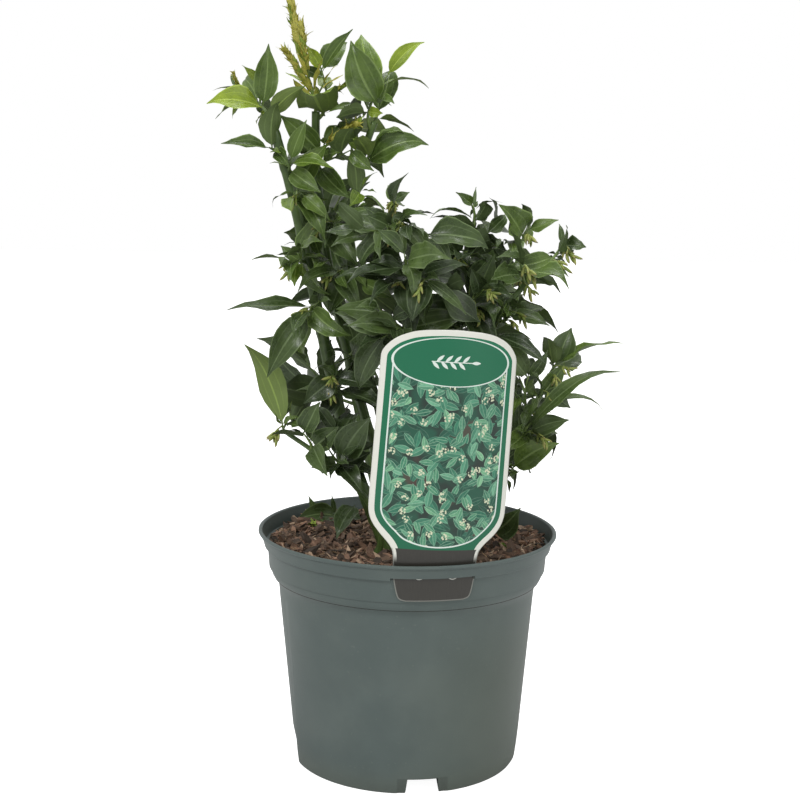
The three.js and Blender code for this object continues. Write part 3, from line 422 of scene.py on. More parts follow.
mix = {
    "foot": 0.12,
    "top": 0.136,
    "flatRadius": 0.044,
    "hump": 0.003,
    "edge": 0.0879,
    "bedRings": 40,
    "bedSteps": 120,
    "pile": 0.0046,
    "pileFrom": 0.046,
    "pileTo": 0.076,
    "ledge": (0.1388, 0.0906),
    "rough": (-0.0012, 0.0006),
    "seed": 41,
}
chipSize = (0.004, 0.0205)
chipForm = {
    "shorter": (0.6, 1.0), "thick": (0.25, 0.6), "jag": (0.65, 1.2), "warp": (-0.2, 0.2), "lift": 0.0004,
    "clear": 0.0004,
}
# Each kind: its count, its lengths, its width over its length, how far it tips, its colours and roughness
barkKinds = {
    "bark_dark": (966, chipSize, (0.2, 0.42), 0.35, (60, 50, 42), (120, 97, 79), 0.8),
    "bark_brown": (782, chipSize, (0.14, 0.36), 0.35, (112, 86, 70), (168, 132, 108), 0.8),
    "bark_pale": (598, chipSize, (0.08, 0.24), 0.35, (154, 128, 105), (208, 180, 152), 0.8),
    "bark_crumbs": (7000, (0.0006, 0.002), (0.5, 1.0), 0.8, (44, 38, 30), (122, 102, 78), 0.9),
    "fibres": (900, (0.006, 0.016), (0.05, 0.1), 0.3, (112, 88, 66), (186, 156, 122), 0.8),
}


def soilHeight(x, y):  # as the source humps its top, with the loose bark heaped towards the wall
    radius = np.hypot(x, y)
    away = np.clip((radius - mix["pileFrom"]) / (mix["pileTo"] - mix["pileFrom"]), 0, 1)
    heap = mix["pile"] * away ** 2 * (3 - 2 * away)
    angle = np.arctan2(y, x)
    wave = 0.5 + 0.3 * np.sin(5 * angle + radius / 0.006) + 0.2 * np.sin(9 * angle - radius / 0.004)
    rise = mix["hump"] * wave * np.minimum(1, (mix["edge"] - radius) / 0.005 + 0.3)
    return mix["top"] + heap + np.where(radius > mix["flatRadius"] + 0.001, rise, 0)


def buildBed():
    stations = [(0.0, mix["foot"]), (mix["edge"] - 0.002, mix["foot"])]
    stations += [(mix["edge"] * (1 - i / mix["bedRings"]), mix["top"]) for i in range(mix["bedRings"] + 1)]
    bed = turnedShape(stations, mix["bedSteps"])
    random = np.random.default_rng(mix["seed"])
    for vertex in bed.verts:
        if vertex.co.z > mix["top"] - 0.001:
            vertex.co.z = float(soilHeight(vertex.co.x, vertex.co.y)) + random.uniform(*mix["rough"])
    return pieceFromBmesh("soil_bed", bed)


def scatter(random, count):  # places on the mix, fewer near the middle
    radius = mix["edge"] * np.sqrt(random.uniform(0, 1.03, count))
    angle = random.uniform(0, 2 * math.pi, count)
    x = radius * np.cos(angle)
    y = radius * np.sin(angle)
    return np.stack([x, y, soilHeight(x, y)], 1)


def turnsFrom(first, second, angle):  # rotation matrices that carry one axis towards another
    made = np.tile(np.eye(3), (len(angle), 1, 1))
    made[:, first, first] = made[:, second, second] = np.cos(angle)
    made[:, second, first] = np.sin(angle)
    made[:, first, second] = -np.sin(angle)
    return made


def randomTurns(random, count, tip):  # lying down to within tip
    spin = turnsFrom(0, 1, random.uniform(0, 2 * math.pi, count))
    lean = turnsFrom(2, 0, random.normal(0, tip, count))
    return spin @ lean @ turnsFrom(1, 2, random.normal(0, tip, count))


def buildChips(name, random, count, sizes, slim, tip):  # split, angular flakes, each of 12 corners
    ring = np.linspace(0, 2 * math.pi, 6, endpoint=False)
    outline = np.stack([np.cos(ring), np.sin(ring)], 1)
    length = random.uniform(*sizes, count) * random.uniform(*chipForm["shorter"], count)
    width = length * random.uniform(*slim, count)
    thick = width * random.uniform(*chipForm["thick"], count)
    jag = random.uniform(*chipForm["jag"], (count, 2, 6))
    flat = outline[None, None] * jag[..., None]
    places = np.zeros((count, 2, 6, 3))
    places[..., 0] = flat[..., 0] * length[:, None, None] / 2
    places[..., 1] = flat[..., 1] * width[:, None, None] / 2
    places[..., 2] = np.array([-0.5, 0.5])[None, :, None] * thick[:, None, None]
    places[..., 2] += random.uniform(*chipForm["warp"], (count, 2, 6)) * thick[:, None, None]
    places = np.einsum("nij,nabj->nabi", randomTurns(random, count, tip), places)
    places += (scatter(random, count) + np.array([0, 0, chipForm["lift"]]))[:, None, None]
    radius = np.hypot(places[..., 0], places[..., 1]).max(axis=(1, 2))
    ledgeHeight, ledgeRadius = mix["ledge"]
    onLedge = (places[..., 2].min(axis=(1, 2)) > ledgeHeight) & (radius < ledgeRadius)
    keep = (radius < mix["edge"] - chipForm["clear"]) | onLedge
    places = places[keep].reshape(-1, 3)
    count = int(keep.sum())
    side = np.arange(6)
    sides = np.stack([side, (side + 1) % 6, (side + 1) % 6 + 6, side + 6], 1)
    caps = np.array([[6, 7, 8, 9], [6, 9, 10, 11], [3, 2, 1, 0], [5, 4, 3, 0]])
    faces = np.concatenate([sides, caps])
    faces = (faces[None] + np.arange(count)[:, None, None] * 12).reshape(-1, 4)
    tone = np.repeat(random.uniform(0, 1, count), 12)
    return pieceFromArrays(name, places, [faces], values={"tone": tone})


def tintMaterial(name, group, roughness, bump, colors, **fixed):  # a skin of one group, by its sockets' names
    made, tree, shader = newMaterial(name, roughness, **fixed)
    sources = {
        "Vector": objectPlace, "Surface": surfacePlace, "Tone": lambda tree: attribute(tree, "tone"),
        "Back": lambda tree: addNode(tree, "ShaderNodeNewGeometry").outputs["Backfacing"],
    }
    asked = [item.name for item in groups[group].interface.items_tree if item.in_out == "INPUT"]
    given = {socket: source(tree) for socket, source in sources.items() if socket in asked}
    skin = placeGroup(tree, group, **given, **{socket: rgb(*color) for socket, color in colors.items()})
    tree.links.new(skin["Color"], shader.inputs["Base Color"])
    if "Roughness" in skin:
        tree.links.new(skin["Roughness"], shader.inputs["Roughness"])
    addBump(tree, shader, skin["Height"], *bump)
    return made


def barkMaterial(name, dark, light, roughness):
    return tintMaterial(name, "bark", roughness, (0.5, 0.0006), {"Dark": dark, "Light": light})


def buildMix():
    random = np.random.default_rng(mix["seed"])
    skin = barkMaterial("soilBed", (50, 42, 34), (72, 60, 48), 0.95)
    finishPiece(buildBed(), skin, ["potting_mix"])
    for name, (count, sizes, slim, tip, *look) in barkKinds.items():
        chips = buildChips(name, random, count, sizes, slim, tip)
        finishPiece(chips, barkMaterial(name, *look), smooth=False)


buildMix()
print("potting mix laid")


# Label: a bent sheet with a printed face. The print is a plain panel of leaf shapes, with no words.

label = {
    "turn": 10.2,
    "lean": 3.9,
    "pivot": 0.14,
    "radius": 0.09035,
    "thickness": 0.00055,
    "outline": [
        (0.1276, 0.0172), (0.1284, 0.0208), (0.131, 0.0226), (0.1435, 0.0251), (0.153, 0.0253),
        (0.158, 0.0264), (0.162, 0.0298), (0.166, 0.0346), (0.171, 0.0394), (0.177, 0.0424), (0.184, 0.043),
        (0.218, 0.0428), (0.252, 0.0427), (0.269, 0.0428), (0.2722, 0.0425), (0.2748, 0.0412),
        (0.2783, 0.0382), (0.2802, 0.0359), (0.282, 0.0333), (0.2839, 0.0292), (0.2857, 0.0245),
        (0.287, 0.0172), (0.2877, 0.009), (0.2879, 0.003),
    ],
    "upright": (0.13, 0.168),
    "columns": 96,
    "rows": 200,
    "uvSize": (0.1, 0.16),
}
# The print, in metres on the sheet: insets from its outline, and heights
printing = {
    "border": 0.0036, "line": 0.0069, "picture": 0.0077,
    "bowlTop": 0.184, "bowlLow": 0.1597, "bowlHalf": 0.0371, "bowlSlope": 0.024,
    "bowlBlend": 0.0025,
    "oval": (0.0, 0.2692, 0.0352, 0.0138), "ovalLine": 1.04, "sprigEnd": 0.0135,
    "neck": 0.1585, "neckLight": (0.15, 0.156), "neckBorder": 0.0022, "rim": 0.0007,
    "holes": (-0.0094, 0.0106), "holeHeight": 0.1442, "holeRadius": 0.0034, "holeLine": 0.00028,
    "layers": [  # of printed leaves: their size, their shift, the share left out and their two greens
        (0.0105, 0.0, 0.1, (22, 66, 52), (44, 106, 84)),
        (0.0092, 3.7, 0.15, (24, 82, 64), (62, 136, 106)),
        (0.0098, 8.1, 0.3, (34, 104, 80), (92, 158, 126)),
        (0.0084, 5.3, 0.45, (30, 96, 74), (116, 180, 144)),
        (0.0078, 11.9, 0.55, (52, 124, 96), (132, 192, 146)),
    ],
}


def roundedOutline():  # the corners cut twice, so that the sheet has no kinks
    stations = [np.array(one) for one in label["outline"]]
    for _ in range(2):
        pairs = list(zip(stations, stations[1:]))
        cuts = [share * a + (1 - share) * b for a, b in pairs for share in (0.75, 0.25)]
        stations = [stations[0], *cuts, stations[-1]]
    return np.array(stations)


def labelPlace(off, height, radius):
    tabTop, panelFoot = label["upright"]
    lean = label["lean"] * degree * np.clip((height - tabTop) / (panelFoot - tabTop), 0, 1)
    along = off * np.cos(lean) + (height - label["pivot"]) * np.sin(lean)
    rise = (height - label["pivot"]) * np.cos(lean) - off * np.sin(lean)
    turn = label["turn"] * degree + along / label["radius"]
    return np.stack([radius * np.sin(turn), -radius * np.cos(turn), label["pivot"] + rise], -1)


def insetOf(off, height, outline):  # how far inside the outline each place lies
    right = outline[:, ::-1]
    corners = np.concatenate([right, right[::-1] * [-1, 1]])
    run = np.roll(corners, -1, axis=0) - corners
    place = np.stack([off, height], 1)[:, None]
    share = np.clip(((place - corners) * run).sum(-1) / np.maximum((run ** 2).sum(-1), 1e-12), 0, 1)
    return np.sqrt(((corners + share[..., None] * run - place) ** 2).sum(-1)).min(1)


def buildLabel():  # a flat grid, cut to the outline's width at each height, bent, and thickened inwards
    sheet = bmesh.new()
    bmesh.ops.create_grid(sheet, x_segments=label["columns"], y_segments=label["rows"], size=1)
    piece = pieceFromBmesh("label_sheet", sheet)
    mesh = piece.data
    flat = np.zeros(len(mesh.vertices) * 3, np.float32)
    mesh.vertices.foreach_get("co", flat)
    across, rise = flat.reshape(-1, 3)[:, :2].T
    outline = roundedOutline()
    low, high = outline[0, 0], outline[-1, 0]
    height = low + (high - low) * (rise + 1) / 2
    off = np.interp(height, *outline.T) * across
    inset = mesh.attributes.new("inset", "FLOAT", "POINT")
    inset.data.foreach_set("value", insetOf(off, height, outline).astype(np.float32))
    places = labelPlace(off, height, label["radius"] + label["thickness"])
    mesh.vertices.foreach_set("co", places.astype(np.float32).ravel())
    corners = np.zeros(len(mesh.loops), np.int32)
    mesh.loops.foreach_get("vertex_index", corners)
    uvs = np.stack([off / label["uvSize"][0] + 0.5, (height - low) / label["uvSize"][1]], -1)
    mesh.uv_layers.new(name="surface").data.foreach_set("uv", uvs[corners].astype(np.float32).ravel())
    for material in (printMaterial(), newMaterial("labelBack", 0.5, Base_Color=rgb(232, 232, 220))[0]):
        mesh.materials.append(material)
    return applyModifier(
        piece, "SOLIDIFY", thickness=label["thickness"], offset=-1, material_offset=1, material_offset_rim=1,
    )


def flatCells(tree, place, scale):
    given = {"Vector": place, "Scale": scale}
    return addNode(tree, "ShaderNodeTexVoronoi", given, voronoi_dimensions="2D").outputs


def leafMask(tree, along, beside, slim):  # 1 inside a pointed leaf that is two units long
    along = mathNode(tree, "MINIMUM", absolute(tree, along), 1.0)
    half = times(tree, minus(tree, 1.0, mathNode(tree, "POWER", along, 1.8)), slim)
    return isAbove(tree, half, absolute(tree, beside)), half


def printedLeaves(tree, place, size, shift, least, dark, light):  # one leaf in each cell, turned at random
    moved = {"Vector": place, "Location": (shift, shift * 0.7, 0), "Scale": (1 / size, 1 / size, 1)}
    spread = addNode(tree, "ShaderNodeMapping", moved).outputs[0]
    cells = flatCells(tree, spread, 1.0)
    between = addNode(tree, "ShaderNodeVectorMath", {0: spread, 1: cells["Position"]}, operation="SUBTRACT")
    tint = addNode(tree, "ShaderNodeSeparateColor", {0: cells["Color"]}).outputs
    angle = times(tree, tint[0], 2 * math.pi)
    away = {"Vector": between.outputs[0], "Angle": angle}
    turned = addNode(tree, "ShaderNodeVectorRotate", away, rotation_type="Z_AXIS").outputs[0]
    split = splitXYZ(tree, turned)
    inside, half = leafMask(tree, mathNode(tree, "DIVIDE", split["X"], 0.62), split["Y"], 0.24)
    mottle = noiseNode(tree, spread, 5.0, 3.0)
    body = mixColors(tree, plus(tree, tint[1], timesPlus(tree, mottle, 1.4, -0.7)), dark, light)
    body = mixColors(tree, times(tree, ramp(tree, split["Y"], -0.01, 0.02), 0.45), body, dark)
    beside = absolute(tree, split["Y"])
    margin = isAbove(tree, beside, times(tree, half, 0.82))
    lines = larger(tree, isBelow(tree, beside, 0.02), margin)
    body = mixColors(tree, times(tree, lines, least), body, rgb(176, 212, 182))
    return times(tree, inside, isAbove(tree, tint[2], least)), body


def picturePattern(tree, place):  # leaves in several layers over dark ground, with clusters of cream specks
    ground = ramp(tree, noiseNode(tree, place, 60.0, 2.0), 0.4, 0.62)
    earth = ramp(tree, noiseNode(tree, place, 34.0, 2.0), 0.6, 0.66)
    coats = [(ground, rgb(30, 86, 66)), (times(tree, earth, 0.7), rgb(84, 62, 54))]
    for size, shift, least, dark, light in printing["layers"]:
        coats.append(printedLeaves(tree, place, size, shift, least, rgb(*dark), rgb(*light)))
    specks = isBelow(tree, flatCells(tree, place, 640.0)["Distance"], 0.4)
    clusters = isBelow(tree, flatCells(tree, place, 92.0)["Distance"], 0.2)
    coats.append((times(tree, specks, clusters), rgb(214, 218, 186)))
    return layOver(tree, rgb(34, 52, 44), coats)


def sprigMask(tree, off, height):  # a level twig with pairs of slim leaves and one at its end
    rise = minus(tree, height, printing["oval"][1])
    end = printing["sprigEnd"]
    thin = isBelow(tree, absolute(tree, rise), 0.00026)
    mask = times(tree, thin, isBelow(tree, absolute(tree, off), end))
    pairs = [(i, side) for i in range(4) for side in (-1, 1)]
    marks = [(-0.0098 + 0.0052 * i + 0.0012 * side, 0.0019 * side, 0.75 * side) for i, side in pairs]
    for x, y, turn in [*marks, (end, 0.0, 0.0)]:
        across = minus(tree, off, x)
        upward = minus(tree, rise, y)
        cosine, sine = math.cos(turn), math.sin(turn)
        along = plus(tree, times(tree, across, cosine), times(tree, upward, sine))
        beside = minus(tree, times(tree, upward, cosine), times(tree, across, sine))
        mark, _ = leafMask(tree, mathNode(tree, "DIVIDE", along, 0.0031), beside, 0.00095)
        mask = larger(tree, mask, mark)
    return mask


def ellipseReach(tree, first, second, firstHalf, secondHalf):
    pairs = ((first, firstHalf), (second, secondHalf))
    parts = [absolute(tree, mathNode(tree, "DIVIDE", *pair)) for pair in pairs]
    squares = [mathNode(tree, "POWER", part, 2.0) for part in parts]
    return mathNode(tree, "SQRT", plus(tree, *squares))


def printMaterial():
    made, tree, shader = newMaterial("labelPrint", 0.3, Coat_Weight=0.2, Coat_Roughness=0.2)
    split = splitXYZ(tree, surfacePlace(tree))
    wide, tall = label["uvSize"]
    off = times(tree, minus(tree, split["X"], 0.5), wide)
    height = timesPlus(tree, split["Y"], tall, label["outline"][0][0])
    place = addNode(tree, "ShaderNodeCombineXYZ", {0: off, 1: height}).outputs[0]
    inset = attribute(tree, "inset")
    cream, white = rgb(230, 230, 220), rgb(226, 236, 228)
    green = mixColors(tree, ramp(tree, height, 0.16, 0.28), rgb(5, 102, 69), rgb(3, 113, 76))
    # The picture's depth is the inset, and below the bowl's top the depth inside half an ellipse
    drop = larger(tree, minus(tree, printing["bowlTop"], height), 0.0)
    bowl = ellipseReach(tree, off, drop, printing["bowlHalf"], printing["bowlTop"] - printing["bowlLow"])
    bowlDepth = timesPlus(tree, minus(tree, 1.0, bowl), printing["bowlSlope"], printing["line"])
    depth = mathNode(tree, "SMOOTH_MIN", inset, bowlDepth, printing["bowlBlend"])
    ovalX, ovalY, ovalHalf, ovalRise = printing["oval"]
    reach = ellipseReach(tree, minus(tree, off, ovalX), minus(tree, height, ovalY), ovalHalf, ovalRise)
    oval = isBelow(tree, reach, 1.0)
    neck = isBelow(tree, height, printing["neck"])
    grainLines = addNode(tree, "ShaderNodeMapping", {"Vector": place, "Scale": (2600.0, 120.0, 1.0)})
    streaks = noiseNode(tree, grainLines.outputs[0], 1.0, 2.0)
    neckColor = mixColors(tree, streaks, rgb(44, 42, 37), rgb(58, 56, 50))
    lightEdge = times(tree, neck, isBelow(tree, inset, printing["neckBorder"]))
    rimLight = times(tree, neck, isBelow(tree, inset, printing["rim"]))
    coats = [
        (isAbove(tree, inset, printing["border"]), green),
        (isAbove(tree, depth, printing["line"]), white),
        (isAbove(tree, depth, printing["picture"]), picturePattern(tree, place)),
        (isBelow(tree, reach, printing["ovalLine"]), white),
        (oval, rgb(14, 108, 74)),
        (times(tree, oval, sprigMask(tree, off, height)), white),
        (times(tree, neck, isBelow(tree, bowlDepth, printing["line"])), neckColor),
        (times(tree, lightEdge, ramp(tree, height, *printing["neckLight"])), cream),
        (times(tree, rimLight, 0.6), rgb(150, 152, 144)),
    ]
    for hole in printing["holes"]:
        upward = minus(tree, height, printing["holeHeight"])
        ring = ellipseReach(tree, minus(tree, off, hole), upward, 1.0, 1.0)
        away = absolute(tree, minus(tree, ring, printing["holeRadius"]))
        coats.append((isBelow(tree, away, printing["holeLine"]), rgb(196, 198, 190)))
    tree.links.new(layOver(tree, cream, coats), shader.inputs["Base Color"])
    ripple = noiseNode(tree, place, 24.0, 2.0)
    addBump(tree, shader, ripple, 0.08, 0.002)
    return made


finishPiece(buildLabel(), None, ["plant_label"])
print("label bent and printed")


# Plant: the source's growing rule, written again, and carried to finer twigs

def metres(place):
    return tuple(one / 1000 for one in place)


# Each cane: its radius at the foot and at the tip in metres, and the points of its curve in millimetres
caneTable = {
    "main_cane": (0.0036, 0.0025, [(-12, -2, 136), (-55, -6, 221), (-57, -10, 318), (-89, -8, 407)]),
    "centre_cane": (0.0029, 0.0021, [(-3, 12, 136), (-30, 6, 227), (-64, 15, 318), (-62, 6, 413)]),
    "right_cane": (0.0026, 0.0018, [(5, -3, 136), (-13, 2, 224), (-64, -1, 317), (-25, 0, 407)]),
    "middle_cane": (0.0024, 0.0015, [(13, -15, 136), (13, -20, 211), (-5, -38, 282), (-14, -34, 356)]),
    "dome_cane": (0.0024, 0.0014, [(22, 4, 136), (23, 3, 203), (30, -12, 277), (85, -10, 323)]),
    "dome_rear_cane": (0.0023, 0.0014, [(10, 16, 136), (8, 19, 208), (26, 18, 277), (39, 18, 346)]),
    "low_right_cane": (0.0022, 0.0013, [(31, -8, 136), (34, -11, 183), (72, -21, 213), (87, -18, 254)]),
    "low_left_cane": (0.0018, 0.0011, [(-19, -17, 136), (-6, -23, 169), (-53, -30, 201), (-77, -28, 216)]),
    "back_left_cane": (0.0026, 0.0016, [(-14, 26, 136), (-27, 40, 193), (-45, 56, 250), (-52, 62, 310)]),
    "back_right_cane": (0.0024, 0.0015, [(24, 26, 136), (31, 43, 183), (54, 56, 225), (60, 64, 275)]),
}
canes = {
    name: {"foot": foot, "tip": tip, "path": [metres(place) for place in path]}
    for name, (foot, tip, path) in caneTable.items()
}
caneForm = {
    "sides": 16, "ring": 0.0018, "girth": 1.22, "flare": 0.4, "flareReach": 0.06,
    "joint": 0.021, "swell": 0.09, "ribs": (0.03, 0.015), "scar": 0.1, "grain": (0.012, 500),
}

